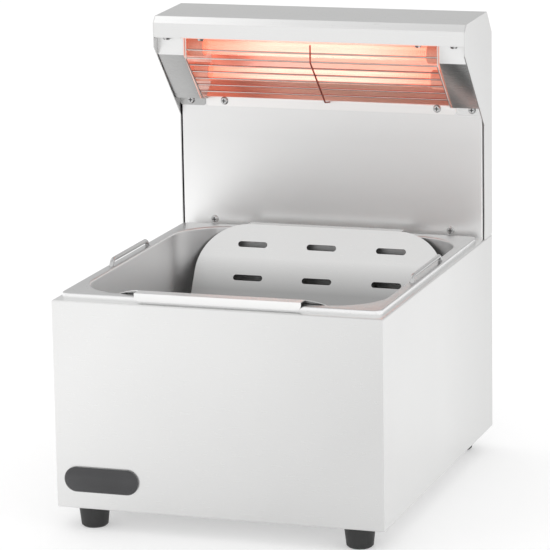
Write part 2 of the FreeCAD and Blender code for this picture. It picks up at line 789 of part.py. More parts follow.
def make_feet():
    """Four tapered rubber feet, each turned round a hole for its screw."""
    for name, (across, along) in FOOT_PLACES.items():
        body = new_body(name + "_body")
        half = new_sketch(body, name + "_half_section", "XZ_Plane")
        hole = "{foot_screw_width} / 2"
        draw_path(half, [
            ("{foot_recess_width} / 2", "0"),
            ("{foot_bottom_width} / 2", "0"),
            ("{foot_top_width} / 2", "{foot_height}"),
            (hole, "{foot_height}"),
            (hole, "{foot_recess_depth}"),
            ("{foot_recess_width} / 2", "{foot_recess_depth}"),
        ], closed=True)
        turn = body.newObject("PartDesign::Revolution", name + "_turned")
        turn.Profile = half
        turn.ReferenceAxis = (half, ["V_Axis"])
        rim = size("{foot_bottom_width} / 2")
        outer_rim = lambda edge: near(middle(edge).z, 0) and near(edge.BoundBox.XMax, rim)
        bevel_edges(body, name + "_rim", "{foot_bevel}", outer_rim)
        piece(body, name, x=across, y=f"{along} - {{depth_shift}}")


def make_foot_screws():
    """Screws up through the feet, each with its nut on the floor plate."""
    shapes = []
    for across, along in FOOT_PLACES.values():
        seat = Vector(size(across), size(along), size("{foot_recess_depth}"))
        bolt = screw(seat, -UPWARD, "{foot_bolt}", "{foot_screw_width}")
        nut = Part.makeCylinder(size("{foot_nut_width} / 2"), size("{foot_nut_height}"),
                                Vector(seat.x, seat.y, size("{floor_top}")))
        shapes.append(bolt.fuse(nut).removeSplitter())
    piece(gathered("foot_screw_group", shapes), "foot_screws")


# Badge on the front, with nothing on it

def make_badge():
    body = new_body("badge_body")
    outline = new_sketch(body, "badge_outline", "XZ_Plane")
    draw_stadium(outline, "-({half_width} - {badge_from_side})", "{foot_height} + {badge_from_bottom}",
                 "{badge_length}", "{badge_height}")
    extrude(body, "Pad", "badge_plate", outline, "{badge_thickness}")
    face = -size("{badge_thickness}")
    front_rim = lambda edge: near(edge.BoundBox.YLength, 0) and near(middle(edge).y, face)
    bevel_edges(body, "badge_edge", "{badge_bevel}", front_rim)
    piece(body, "badge")


# Column: front panel, its foot bracket, the two side panels, the top cover and the rear cover

def make_column_front_panel():
    body = new_body("column_front_panel_body")
    plan = new_sketch(body, "column_panel_plan", "XY_Plane", "{housing_top}")
    outer = "({inside_half_width} - {column_panel_gap})"
    inner = "({inside_half_width} - {column_panel_gap} - {panel_sheet})"
    front, inside = "{column_front}", "{column_front} + {panel_sheet}"
    back = "{column_front} + {column_panel_return}"
    draw_path(plan, [("-" + outer, front), (outer, front), (outer, back), (inner, back), (inner, inside),
                     ("-" + inner, inside), ("-" + inner, back), ("-" + outer, back)], closed=True)
    extrude(body, "Pad", "column_panel_sheet", plan, "{column_panel_height}")
    face = size("{column_front}")
    folds = lambda edge: upright(edge) and near(middle(edge).y, face)
    round_edges(body, "column_panel_folds", "{bend_radius}", folds)
    behind = "-({column_front} + {panel_sheet} + {cut_overrun})"
    holes = new_sketch(body, "column_panel_holes", "XZ_Plane", behind)
    for sign in ("-", ""):
        for across, height in (("{column_screw_across}", "{column_screw_z}"),
                               ("{lamp_screw_outer}", "{lamp_screw_z}"),
                               ("{lamp_screw_inner}", "{lamp_screw_z}")):
            draw_circle(holes, sign + across, height, "{screw_width}")
    extrude(body, "Pocket", "column_panel_cuts", holes, "{sheet_cut}", backwards=True)
    piece(body, "column_front_panel")


def make_column_bracket():
    """An angle behind the column panel that ties it to the top of the housing."""
    behind = "{column_front} + {panel_sheet}"
    angle = bent_sheet("column_bracket_angle", [
        (behind, "{housing_top} + {bracket_height}"),
        (behind, "{housing_top}"),
        (f"{behind} + {{bracket_depth}}", "{housing_top}"),
    ], "{panel_sheet}", "{bracket_width}")
    angle.Placement.Base.x = -size("{bracket_width}") / 2
    bind(angle, "Placement.Base.x", "-{bracket_width} / 2")
    gap = doc.addObject("Part::Box", "bracket_cable_gap")
    bind(gap, "Length", "{cable_hole_width}")
    bind(gap, "Width", "{bracket_depth}")
    bind(gap, "Height", "{sheet_cut}")
    bind(gap, "Placement.Base.x", "-{cable_hole_width} / 2")
    bind(gap, "Placement.Base.y", "{column_front} + 3 * {panel_sheet}")
    bind(gap, "Placement.Base.z", "{housing_top} - {cut_overrun}")
    notched = cut("column_bracket_notched", angle, gap)
    spots = on_both_sides("{column_screw_across}", "{column_front}", "{column_screw_z}")
    piece(drilled("column_bracket_drilled", notched, spots, BACKWARD), "column_bracket")


def make_column_screws():
    spots = on_both_sides("{column_screw_across}", "{column_front}", "{column_screw_z}")
    piece(screws("column_screw_pair", spots, -BACKWARD), "column_screws")


HOOD_SIDE_OUTLINE = [
    ("{column_front}", "{housing_top}"),
    ("{overall_depth} - {relief_notch}", "{housing_top}"),
    ("{overall_depth}", "{housing_top} + {relief_notch}"),
    ("{overall_depth}", "{chamfer_foot}"),
    ("{chamfer_front}", "{hood_top}"),
    ("{hood_front} + {lip_chamfer}", "{lip_top}"),
    ("{hood_front}", "{lip_top} - {lip_chamfer}"),
    ("{hood_front}", "{side_knee}"),
    ("{column_front}", "{side_slope_foot}"),
]


def make_hood_sides():
    """Two flat side panels, each with a narrow flange for the screws of the rear cover."""
    sides = (("left_hood_side", "-{half_width}", "-{inside_half_width}"),
             ("right_hood_side", "{inside_half_width}", "{inside_half_width} - {side_flange}"))
    for name, plate_x, flange_x in sides:
        plate = flat_plate(name + "_plate", HOOD_SIDE_OUTLINE, "{panel_sheet}")
        bind(plate, "Placement.Base.x", plate_x)
        flange = doc.addObject("Part::Box", name + "_flange")
        bind(flange, "Length", "{side_flange}")
        bind(flange, "Width", "{panel_sheet}")
        bind(flange, "Height", "{chamfer_foot} - {housing_top} - 2 * {relief_notch}")
        bind(flange, "Placement.Base.x", flange_x)
        bind(flange, "Placement.Base.y", "{shell_back} - {panel_sheet}")
        bind(flange, "Placement.Base.z", "{housing_top} + {relief_notch}")
        panel = doc.addObject("Part::Fuse", name + "_panel")
        panel.Base = plate
        panel.Tool = flange
        spots = rear_screw_spots(COVER_SCREW_HEIGHTS, "{shell_back}")
        piece(drilled(name + "_drilled", panel, spots, BACKWARD), name)


def make_hood_top_cover():
    cover = bent_sheet("hood_top_sheet", [
        ("{chamfer_front}", "{hood_top}"),
        ("{hood_front} + {lip_chamfer}", "{lip_top}"),
        ("{hood_front}", "{lip_top} - {lip_chamfer}"),
        ("{hood_front}", "{lip_bottom}"),
        ("{cheek_front} - {lip_end_gap}", "{lip_bottom}"),
    ], "{panel_sheet}", "2 * {inside_half_width}")
    bind(cover, "Placement.Base.x", "-{inside_half_width}")
    piece(drilled("hood_top_drilled", cover, hood_screw_spots(), UPWARD), "hood_top_cover")


def hood_screw_spots():
    """Where the upper screws of the lamp housing go up into the lip."""
    along = "{hood_front} + {hood_screw_setback}"
    spots = on_both_sides("{lamp_screw_outer}", along, "{tab_face}")
    return spots + on_both_sides("{lamp_screw_inner}", along, "{tab_face}")


def column_lamp_spots():
    """Where the lower screws of the lamp housing go back into the column."""
    spots = on_both_sides("{lamp_screw_outer}", "{flange_face}", "{lamp_screw_z}")
    return spots + on_both_sides("{lamp_screw_inner}", "{flange_face}", "{lamp_screw_z}")


def make_rear_cover():
    slope = "{rear_chamfer_height} / {rear_chamfer_run}"
    cover = bent_sheet("rear_cover_sheet", [
        ("{chamfer_front} + {cover_seam}", f"{{hood_top}} - {{cover_seam}} * {slope}"),
        ("{overall_depth}", "{chamfer_foot}"),
        ("{overall_depth}", "{housing_top}"),
    ], "{panel_sheet}", "2 * {inside_half_width}", left=False)
    bind(cover, "Placement.Base.x", "-{inside_half_width}")
    width, height = size("{louvre_length}"), size("{louvre_width}")
    depth = size("{sheet_cut}")
    behind = size("{overall_depth} - {panel_sheet} - {cut_overrun}")
    start = size("{chamfer_foot} - 2 * {louvre_pitch}")
    slits = []
    for side in (-1, 1):
        left = side * size("{inside_half_width}") / 2 - width / 2
        for row in range(LOUVRE_ROWS):
            corner = Vector(left, behind, start - row * size("{louvre_pitch}"))
            slits.append(Part.makeBox(width, depth, height, corner))
    vented = cut("rear_cover_vented", cover, gathered("rear_cover_slits", slits))
    spots = rear_screw_spots(COVER_SCREW_HEIGHTS, "{overall_depth}")
    piece(drilled("rear_cover_drilled", vented, spots, BACKWARD), "rear_cover")
    piece(screws("rear_cover_screw_group", spots, BACKWARD), "rear_cover_screws")


# Lamp housing: two cheek plates, a folded reflector with end plates, tubes, caps and the wire guard

CHEEK_PATH = [
    ("{tab_front}", "{tab_face}"),
    ("{cheek_front}", "{tab_face}"),
    ("{cheek_front}", "{cheek_knee}"),
    ("{cheek_foot_front}", "{cheek_foot}"),
    ("{flange_face}", "{cheek_foot}"),
    ("{flange_face}", "{cheek_foot} - {cheek_flange_height}"),
]

REFLECTOR_PATH = [
    ("{tab_front}", "{tab_face}"),
    ("{cheek_front}", "{tab_face}"),
    ("{cheek_front} + {reflector_rise}", "{reflector_top}"),
    ("{reflector_back} - {reflector_corner}", "{reflector_top}"),
    ("{reflector_back}", "{reflector_top} - {reflector_corner}"),
    ("{reflector_back}", "{cheek_foot} + {reflector_corner}"),
    ("{flange_face}", "{cheek_foot}"),
    ("{flange_face}", "{cheek_foot} - {cheek_flange_height}"),
]


def lamp_sheet_piece(label, path, place, width):
    """A folded sheet of the lamp housing with a rounded lower flange and its screw holes."""
    strip = bent_sheet(label + "_sheet", path, "{lamp_sheet}", width)
    bind(strip, "Placement.Base.x", place)
    shaped = rounded_foot(label + "_shaped", strip, f"{place} + ({width}) / 2", "{column_front}",
                          "{cheek_foot} - {cheek_flange_height}", width, "{flange_round}")
    upper = drilled(label + "_upper_holes", shaped, hood_screw_spots(), UPWARD)
    piece(drilled(label + "_lower_holes", upper, column_lamp_spots(), BACKWARD), label)


def make_cheeks():
    width = "{inside_half_width} - {opening_half_width}"
    lamp_sheet_piece("left_cheek_plate", CHEEK_PATH, "-{inside_half_width}", width)
    lamp_sheet_piece("right_cheek_plate", CHEEK_PATH, "{opening_half_width}", width)


def tube_places():
    upper = (size("{upper_tube_y}"), size("{upper_tube_z}"))
    lower = (size("{lower_tube_y}"), size("{lower_tube_z}"))
    return (upper, lower)


def make_reflector():
    """The folded trough behind the tubes and the two plates that close its ends."""
    lamp_sheet_piece("reflector", REFLECTOR_PATH, "-{strip_half_width}", "2 * {strip_half_width}")
    outline = REFLECTOR_PATH[1:7] + CHEEK_PATH[3:1:-1]
    ends = (("left_reflector_end", "-{opening_half_width}"), ("right_reflector_end", "{strip_half_width}"))
    for label, place in ends:
        plate = flat_plate(label + "_plate", outline, "{strip_gap}")
        bind(plate, "Placement.Base.x", place)
        reach = size("{half_width}")
        bores = [rod(Vector(-reach, along, height), Vector(reach, along, height),
                     size("{cap_width} + 2 * {cap_clearance}")) for along, height in tube_places()]
        piece(cut(label + "_bored", plate, gathered(label + "_bores", bores)), label)


def make_lamps():
    """Two quartz tubes, each with a coil inside and a ceramic cap on either end."""
    places = (("upper", "{upper_tube_y}", "{upper_tube_z}"), ("lower", "{lower_tube_y}", "{lower_tube_z}"))
    for name, along, height in places:
        tube = new_body(name + "_tube_body")
        ring = new_sketch(tube, name + "_tube_ring", "YZ_Plane")
        draw_circle(ring, "0", "0", "{tube_width}")
        draw_circle(ring, "0", "0", "{tube_width} - 2 * {tube_wall}")
        extrude(tube, "Pad", name + "_tube_wall", ring, "{tube_length}", centred=True)
        piece(tube, name + "_quartz_tube", y=f"{along} - {{depth_shift}}", z=height)
        coil = new_body(name + "_coil_body")
        core = new_sketch(coil, name + "_coil_section", "YZ_Plane")
        draw_circle(core, "0", "0", "{coil_width}")
        extrude(coil, "Pad", name + "_coil_core", core, "{coil_length}", centred=True)
        lead = new_sketch(coil, name + "_lead_section", "YZ_Plane")
        draw_circle(lead, "0", "0", "{lead_width}")
        extrude(coil, "Pad", name + "_coil_leads", lead, "{tube_length}", centred=True)
        piece(coil, name + "_heating_coil", y=f"{along} - {{depth_shift}}", z=height)
        for side, turn in (("left", -1), ("right", 1)):
            make_cap(f"{name}_{side}_lamp_cap", along, height, turn)


def make_cap(label, along, height, turn):
    """A ceramic cap turned about the tube's axis, with a socket for the end of the tube."""
    body = new_body(label + "_body")
    half = new_sketch(body, label + "_half_section", "XY_Plane")
    near_end = "({tube_length} / 2 - {cap_socket})"
    seat = "({tube_length} / 2)"
    far_end = f"({near_end} + {{cap_length}})"
    bore = "{tube_width} / 2 + {cap_clearance}"
    sign = "-" if turn < 0 else ""
    draw_path(half, [
        (sign + near_end, bore),
        (sign + near_end, "{cap_width} / 2"),
        (sign + far_end, "{cap_width} / 2"),
        (sign + far_end, "0"),
        (sign + seat, "0"),
        (sign + seat, bore),
    ], closed=True)
    turned = body.newObject("PartDesign::Revolution", label + "_turned")
    turned.Profile = half
    turned.ReferenceAxis = (half, ["H_Axis"])
    end = turn * size(far_end)
    outer_rim = lambda edge: near(middle(edge).x, end)
    bevel_edges(body, label + "_rim", "{cap_bevel}", outer_rim)
    piece(body, label, y=f"{along} - {{depth_shift}}", z=height)


def make_wire_guard():
    """Three bent uprights with seven level bars welded behind them."""
    wire, bend = size("{guard_wire}"), size("{guard_bend}")
    plane, knee = size("{guard_plane}"), size("{guard_knee}")
    foot_y, foot_z = size("{flange_face}"), size("{cheek_foot} - {guard_end_drop}")
    turn_z = size("{cheek_foot} + {guard_foot_rise}")
    turn_y = plane + knee - turn_z
    side = size("{guard_half_width}")
    top = size("{tab_face}")
    shapes = []
    for across, head in ((-side, top), (0, top - size("{guard_centre_gap}")), (side, top)):
        spots = [Vector(across, plane, head), Vector(across, plane, knee), Vector(across, turn_y, turn_z),
                 Vector(across, foot_y, foot_z)]
        shapes.append(wire_along(spots, wire, bend))
    behind = wire - size("{guard_bite}")
    bars = [(plane + behind, knee + size("{guard_top_bar_rise}"))]
    step = size("{guard_pitch}") / math.sqrt(2)
    aside = behind / math.sqrt(2)
    for index in range(GUARD_SLOPE_BARS):
        bars.append((plane + index * step + aside, knee - index * step + aside))
    for along, height in bars:
        shapes.append(rod(Vector(-side, along, height), Vector(side, along, height), wire))
    solid = shapes[0].multiFuse(shapes[1:])
    piece(gathered("guard_wires", solid.Solids), "wire_guard")


def make_lamp_screws():
    piece(screws("lower_lamp_screw_group", column_lamp_spots(), -BACKWARD), "lower_lamp_screws")
    piece(screws("upper_lamp_screw_group", hood_screw_spots(), -UPWARD), "upper_lamp_screws")


# Pan with a turned-down rim, its two lift handles with stops, and the curved insert

def make_pan():
    body = new_body("pan_body")
    half, front, back = "{pan_width} / 2", "{pan_front}", "{pan_back}"
    rim = new_sketch(body, "rim_outline", "XY_Plane", "{housing_top}")
    draw_rounded_box(rim, f"-({half})", half, front, back, "{rim_corner}")
    extrude(body, "Pad", "rim_block", rim, "{rim_height}")
    under = new_sketch(body, "rim_underside", "XY_Plane", "{housing_top}")
    draw_rounded_box(under, f"-({half} - {{pan_sheet}})", f"{half} - {{pan_sheet}}",
                     f"{front} + {{pan_sheet}}", f"{back} - {{pan_sheet}}", "{rim_corner} - {pan_sheet}")
    extrude(body, "Pocket", "rim_hollow", under, "{rim_height} - {pan_sheet}", backwards=True)
    well = new_sketch(body, "well_outline", "XY_Plane", "{rim_top}")
    draw_rounded_box(well, "-({well_half_width} + {pan_sheet})", "{well_half_width} + {pan_sheet}",
                     "{well_front} - {pan_sheet}", "{well_back} + {pan_sheet}", "{pan_corner} + {pan_sheet}")
    block = extrude(body, "Pad", "well_block", well, "{pan_depth}", backwards=True)
    bind(block, "TaperAngle", "-{pan_draft}")
    hollow = new_sketch(body, "well_hollow_outline", "XY_Plane", "{rim_top}")
    draw_rounded_box(hollow, "-{well_half_width}", "{well_half_width}", "{well_front}", "{well_back}",
                     "{pan_corner}")
    space = extrude(body, "Pocket", "well_hollow", hollow, "{pan_depth} - {pan_sheet}")
    bind(space, "TaperAngle", "-{pan_draft}")
    floor, underside = size("{pan_floor}"), size("{rim_top} - {pan_depth}")
    rim_under, rim_top = size("{rim_top} - {pan_sheet}"), size("{rim_top}")
    reach = 2 * size("{pan_sheet}")
    well_x, low_y, high_y = size("{well_half_width}"), size("{well_front}"), size("{well_back}")

    def at_level(edge, level):
        return near(edge.BoundBox.ZMin, level) and near(edge.BoundBox.ZMax, level)

    def round_well(edge, margin):
        box = edge.BoundBox
        return max(abs(box.XMin), abs(box.XMax)) < well_x + margin and box.YMin > low_y - margin \
            and box.YMax < high_y + margin

    round_edges(body, "floor_bend", "{pan_bottom_round}", lambda edge: at_level(edge, floor))
    round_edges(body, "well_bottom_bend", "{pan_bottom_round} + {pan_sheet}",
                lambda edge: at_level(edge, underside))
    round_edges(body, "rim_under_bend", "{rim_inner_round}",
                lambda edge: at_level(edge, rim_under) and round_well(edge, reach))
    round_edges(body, "rim_inner_bend", "{rim_inner_round} + {pan_sheet}",
                lambda edge: at_level(edge, rim_top) and round_well(edge, reach))
    round_edges(body, "rim_outer_bend", "{rim_round}",
                lambda edge: at_level(edge, rim_top) and not round_well(edge, 2 * reach))
    holes = new_sketch(body, "handle_holes", "XY_Plane", "{rim_top} + {cut_overrun}")
    for sign in ("-", ""):
        for end in ("-", "+"):
            along = f"{{pan_middle}} {end} {{handle_span}} / 2"
            draw_circle(holes, sign + "{handle_x}", along, "{handle_hole_width}")
    extrude(body, "Pocket", "handle_hole_cuts", holes, "{pan_sheet} + 2 * {cut_overrun}")
    piece(body, "pan")


def make_handles():
    """Two wire handles that slide up through the rim until their stops meet it."""
    wire, bend = size("{handle_wire}"), size("{handle_bend}")
    top, foot = size("{handle_top}"), size("{handle_foot}")
    ends = [size("{pan_middle}") + sign * size("{handle_span}") / 2 for sign in (-1, 1)]
    for side, turn in (("left", -1), ("right", 1)):
        across = turn * size("{handle_x}")
        spots = [Vector(across, ends[0], foot), Vector(across, ends[0], top), Vector(across, ends[1], top),
                 Vector(across, ends[1], foot)]
        piece(gathered(side + "_handle_wire", [wire_along(spots, wire, bend)]), side + "_handle")
        rings = []
        for end in ends:
            seat = Vector(across, end, foot + size("{stop_rise}"))
            ring = Part.makeCylinder(size("{stop_width}") / 2, size("{stop_height}"), seat)
            rings.append(ring.cut(Part.makeCylinder(wire / 2, size("{stop_height}"), seat)))
        piece(gathered(side + "_handle_rings", rings), side + "_handle_stops")


def flank_frame(run, rear):
    """The turn about X and the spot on the upper face, a given run down from the insert's edge."""
    slope, radius = math.radians(size("{insert_slope}")), size("{insert_radius}")
    flank = size("{insert_flank}")
    if run <= flank:
        angle = slope
        out = size("{insert_half_span}") - run * math.cos(slope)
        height = size("{hook_top}") - run * math.sin(slope)
    else:
        angle = slope - (run - flank) / radius
        out = radius * math.sin(angle)
        height = size("{insert_floor}") + radius * (1 - math.cos(angle))
    turn = 1 if rear else -1
    spot = Vector(0, size("{insert_middle}") + turn * out, height)
    return Placement(spot, Rotation(RIGHT, math.degrees(turn * angle)))


def slot_cutter(length, width, depth):
    """A level stadium-shaped prism centred on the origin."""
    reach = (length - width) / 2
    base = Vector(0, 0, -depth / 2)
    bar = Part.makeBox(2 * reach, width, depth, Vector(-reach, -width / 2, base.z))
    ends = [Part.makeCylinder(width / 2, depth, base + Vector(side * reach, 0, 0)) for side in (-1, 1)]
    return bar.multiFuse(ends).removeSplitter()


def make_insert():
    """A slotted plate bent to a trough, with a hook over each end of the pan."""
    path = doc.addObject("Sketcher::SketchObject", "insert_path")
    path.Placement = Placement(Vector(), ACROSS)
    first_edge = [("{insert_middle} - {insert_half_span}", "{hook_top}"),
                  ("{insert_middle} - {arc_reach}", "{arc_end}")]
    last_edge = [("{insert_middle} + {arc_reach}", "{arc_end}"),
                 ("{insert_middle} + {insert_half_span}", "{hook_top}")]
    spots = [Vector(size(across), size(along), 0) for across, along in first_edge + last_edge]
    path.addGeometry(Part.LineSegment(spots[0], spots[1]), False)
    low = Vector(size("{insert_middle}"), size("{insert_floor}"), 0)
    path.addGeometry(Part.Arc(spots[1], low, spots[2]), False)
    path.addGeometry(Part.LineSegment(spots[2], spots[3]), False)
    path.addConstraint(Sketcher.Constraint("Coincident", 0, 2, 1, 1))
    path.addConstraint(Sketcher.Constraint("Coincident", 1, 2, 2, 1))
    for element, ends in ((0, first_edge), (2, last_edge)):
        for end, (across, along) in enumerate(ends, start=1):
            fix_point(path, element, end, across, along)
    bow = path.addConstraint(Sketcher.Constraint("Radius", 1, size("{insert_radius}")))
    bind(path, f"Constraints[{bow}]", "{insert_radius}")
    trough = run_across("insert_trough", path, first_edge, "{insert_sheet}", "{insert_width}", left=False)
    bind(trough, "Placement.Base.x", "-{insert_width} / 2")
    half, radius = size("{insert_width} / 2"), size("{insert_corner}")
    depth = 2 * size("{insert_sheet} + 2 * {cut_overrun}")
    cutters = []
    for rear in (False, True):
        for side in (-1, 1):
            corner = corner_cutter(half, radius, depth, side, -1 if rear else 1)
            corner.Placement = flank_frame(0.0, rear)
            cutters.append(corner)
        for row in range(INSERT_ROWS):
            place = flank_frame(size("{slot_first_row}") + row * size("{slot_row_pitch}"), rear)
            for column in (-1, 0, 1):
                slot = slot_cutter(size("{slot_length}"), size("{slot_width}"), depth)
                slot.translate(Vector(column * size("{slot_column_pitch}"), 0, 0))
                slot.Placement = place.multiply(slot.Placement)
                cutters.append(slot)
    plate = cut("insert_plate", trough, gathered("insert_cutters", cutters))
    hooks = []
    for name, sign, reach, fall in (("front", "-", "{front_lip_reach}", "{front_lip_height}"),
                                    ("rear", "+", "{rear_hook_reach}", "{rear_hook_height}")):
        back = "+" if sign == "-" else "-"
        edge = f"({{insert_middle}} {sign} {{insert_half_span}})"
        lip = f"({edge} {sign} {reach})"
        tip = f"({{hook_top}} - {fall})"
        hook = bent_sheet(name + "_hook_sheet", [
            (f"{edge} {back} {{hook_overlap}} * cos({{insert_slope}})",
             "{hook_top} - {hook_overlap} * sin({insert_slope})"),
            (edge, "{hook_top}"),
            (lip, "{hook_top}"),
            (lip, tip),
        ], "{insert_sheet}", "{hook_width}", left=sign == "-")
        bind(hook, "Placement.Base.x", "-{hook_width} / 2")
        hooks.append(rounded_foot(name + "_hook", hook, "0", lip, tip, "{hook_width}", "{hook_corner}"))
    whole = doc.addObject("Part::MultiFuse", "insert_whole")
    whole.Shapes = [plate] + hooks
    whole.Refine = True
    piece(whole, "drain_insert")


# Rear bay: the wall behind the pan, the lower rear panel and the electrical parts

def make_partition():
    wall = bent_sheet("partition_sheet", [
        ("{partition_y}", "{housing_top} - {panel_sheet}"),
        ("{partition_y}", "{floor_top}"),
        ("{partition_y} + {partition_flange}", "{floor_top}"),
    ], "{panel_sheet}", "2 * ({inside_half_width} - {plate_clearance})")
    piece(wall, "well_partition", x="-({inside_half_width} - {plate_clearance})")


def make_lower_rear_panel():
    body = new_body("lower_rear_panel_body")
    edge = "{half_width} - {rear_panel_seam}"
    sheet_outline = new_sketch(body, "rear_panel_outline", "XZ_Plane", "-{overall_depth}")
    draw_box(sheet_outline, f"-({edge})", edge, "{foot_height} + {rear_panel_seam}",
             "{housing_top} - {rear_panel_seam}")
    extrude(body, "Pad", "rear_panel_sheet", sheet_outline, "{panel_sheet}")
    holes = new_sketch(body, "rear_panel_holes", "XZ_Plane", "-({overall_depth} + {cut_overrun})")
    draw_rear_holes(holes, LOWER_SCREW_HEIGHTS)
    draw_circle(holes, "-{gland_across}", "{gland_z}", "{gland_thread_width}")
    draw_box(holes, "{switch_across} - {switch_body_width} / 2", "{switch_across} + {switch_body_width} / 2",
             "{switch_z} - {switch_body_height} / 2", "{switch_z} + {switch_body_height} / 2")
    extrude(body, "Pocket", "rear_panel_cuts", holes, "{sheet_cut}", backwards=True)
    piece(body, "lower_rear_panel")
    spots = rear_screw_spots(LOWER_SCREW_HEIGHTS, "{overall_depth}")
    piece(screws("lower_rear_screw_group", spots, BACKWARD), "lower_rear_screws")


def make_switch():
    """The switch's housing with a pocket and pin holes, and the rocker that tips in it."""
    body = new_body("switch_housing_body")
    face = "-{overall_depth}"
    bezel = new_sketch(body, "bezel_outline", "XZ_Plane", face)
    draw_centred_box(bezel, "{switch_across}", "{switch_z}", "{bezel_width}", "{bezel_height}")
    extrude(body, "Pad", "bezel_plate", bezel, "{bezel_thickness}", backwards=True)
    outer = size("{overall_depth} + {bezel_thickness}")
    rim = lambda edge: near(edge.BoundBox.YMin, outer) and near(edge.BoundBox.YMax, outer)
    round_edges(body, "bezel_rim", "{bezel_round}", rim)
    core = new_sketch(body, "switch_core_outline", "XZ_Plane", face)
    draw_centred_box(core, "{switch_across}", "{switch_z}", "{switch_body_width}", "{switch_body_height}")
    extrude(body, "Pad", "switch_core", core, "{switch_body_depth}")
    mouth = "-({overall_depth} + {bezel_thickness} + {cut_overrun})"
    pocket = new_sketch(body, "rocker_pocket", "XZ_Plane", mouth)
    draw_centred_box(pocket, "{switch_across}", "{switch_z}", "({rocker_width} + 2 * {rocker_side_gap})",
                     "({rocker_height} + 2 * {rocker_end_gap})")
    depth = "{switch_pocket_depth} + {cut_overrun}"
    extrude(body, "Pocket", "rocker_pocket_cut", pocket, depth, backwards=True)
    bore = new_sketch(body, "pin_bore", "YZ_Plane", "{switch_across}")
    draw_circle(bore, "{rocker_pivot}", "{switch_z}", "{rocker_pin_width} + 2 * {pin_clearance}")
    reach = "2 * ({rocker_width} / 2 + {rocker_pin_reach} + {rocker_side_gap} / 2)"
    extrude(body, "Pocket", "pin_bore_cut", bore, reach, centred=True)
    piece(body, "switch_housing")

    rocker = new_body("rocker_body")
    low, high = "-{rocker_height} / 2", "{rocker_height} / 2"
    profile = new_sketch(rocker, "rocker_profile", "YZ_Plane")
    draw_path(profile, [
        ("-{rocker_depth}", low),
        ("{rocker_rise}", low),
        ("{rocker_rise} - {rocker_dip}", "0"),
        ("{rocker_rise}", high),
        ("-{rocker_depth}", high),
    ], closed=True)
    extrude(rocker, "Pad", "rocker_block", profile, "{rocker_width}", centred=True)
    pins = new_sketch(rocker, "rocker_pins", "YZ_Plane")
    draw_circle(pins, "0", "0", "{rocker_pin_width}")
    extrude(rocker, "Pad", "rocker_pin_pair", pins, "{rocker_width} + 2 * {rocker_pin_reach}", centred=True)
    rocker.Placement = Placement(Vector(), Rotation(RIGHT, -size("{rocker_tilt}")))
    piece(rocker, "power_switch", x="{switch_across}", y="{rocker_pivot} - {depth_shift}", z="{switch_z}")


def draw_centred_box(sketch, across, along, width, height):
    draw_box(sketch, f"{across} - {width} / 2", f"{across} + {width} / 2",
             f"{along} - {height} / 2", f"{along} + {height} / 2")


def make_gland():
    """A cable gland turned about its bore, and the nut that holds it inside the panel."""
    body = new_body("gland_body")
    half = new_sketch(body, "gland_half_section", "XY_Plane")
    inside = "-({panel_sheet} + {gland_thread_length})"
    draw_path(half, [
        ("{gland_bore} / 2", inside),
        ("{gland_thread_width} / 2", inside),
        ("{gland_thread_width} / 2", "0"),
        ("{gland_width} / 2", "0"),
        ("{gland_width} / 2", "{gland_collar}"),
        ("{gland_cap_width} / 2", "{gland_reach}"),
        ("{gland_bore} / 2", "{gland_reach}"),
    ], closed=True)
    turned = body.newObject("PartDesign::Revolution", "gland_turned")
    turned.Profile = half
    turned.ReferenceAxis = (half, ["V_Axis"])
    piece(body, "cable_gland", x="-{gland_across}", y="{overall_depth} - {depth_shift}", z="{gland_z}")
    nut = new_body("gland_nut_body")
    ring = new_sketch(nut, "gland_nut_ring", "XZ_Plane", "{panel_sheet}")
    corners = []
    for index in range(NUT_FLATS):
        angle = 2 * math.pi * index / NUT_FLATS
        corners.append((f"{{gland_nut_width}} / 2 * {math.cos(angle):.6f}",
                        f"{{gland_nut_width}} / 2 * {math.sin(angle):.6f}"))
    draw_path(ring, corners, closed=True)
    draw_circle(ring, "0", "0", "{gland_thread_width}")
    extrude(nut, "Pad", "gland_nut_plate", ring, "{gland_nut_height}")
    piece(nut, "gland_nut", x="-{gland_across}", y="{overall_depth} - {depth_shift}", z="{gland_z}")


def make_terminal_block():
    body = new_body("terminal_block_body")
    profile = new_sketch(body, "block_profile", "YZ_Plane")
    deep, high = "{block_depth} / 2", "{block_height}"
    step_y, step_z = "({block_depth} / 2 - {block_step_depth})", "({block_height} - {block_step_height})"
    draw_path(profile, [
        (f"-({deep})", "0"),
        (deep, "0"),
        (deep, step_z),
        (step_y, step_z),
        (step_y, high),
        ("-" + step_y, high),
        ("-" + step_y, step_z),
        (f"-({deep})", step_z),
    ], closed=True)
    extrude(body, "Pad", "block_run", profile, "{block_length}", centred=True)
    wells = new_sketch(body, "block_screw_wells", "XY_Plane", "{block_height} + {cut_overrun}")
    for index in (-1, 0, 1):
        draw_circle(wells, f"{index} * {{block_pole_pitch}}", "0", "{block_pole_width}")
    extrude(body, "Pocket", "block_screw_well_cuts", wells, "{block_pole_depth} + {cut_overrun}")
    piece(body, "terminal_block", y="{bay_middle} + {partition_flange} / 2 - {depth_shift}", z="{floor_top}")


# Build

make_housing_shell()
make_base_plate()
make_feet()
make_foot_screws()
make_badge()
make_column_front_panel()
make_column_bracket()
make_column_screws()
make_hood_sides()
make_hood_top_cover()
make_rear_cover()
make_cheeks()
make_reflector()
make_lamps()
make_wire_guard()
make_lamp_screws()
make_pan()
make_handles()
make_insert()
make_partition()
make_lower_rear_panel()
make_switch()
make_gland()
make_terminal_block()
doc.recompute()

# Checks and export

for thing in doc.Objects:
    if "Invalid" in thing.State or "Error" in thing.State:
        raise RuntimeError(f"{thing.Label} failed: {thing.State}")
for thing in pieces:
    if thing.Shape.isNull() or not thing.Shape.isValid():
        raise RuntimeError(f"{thing.Label} has no valid shape")

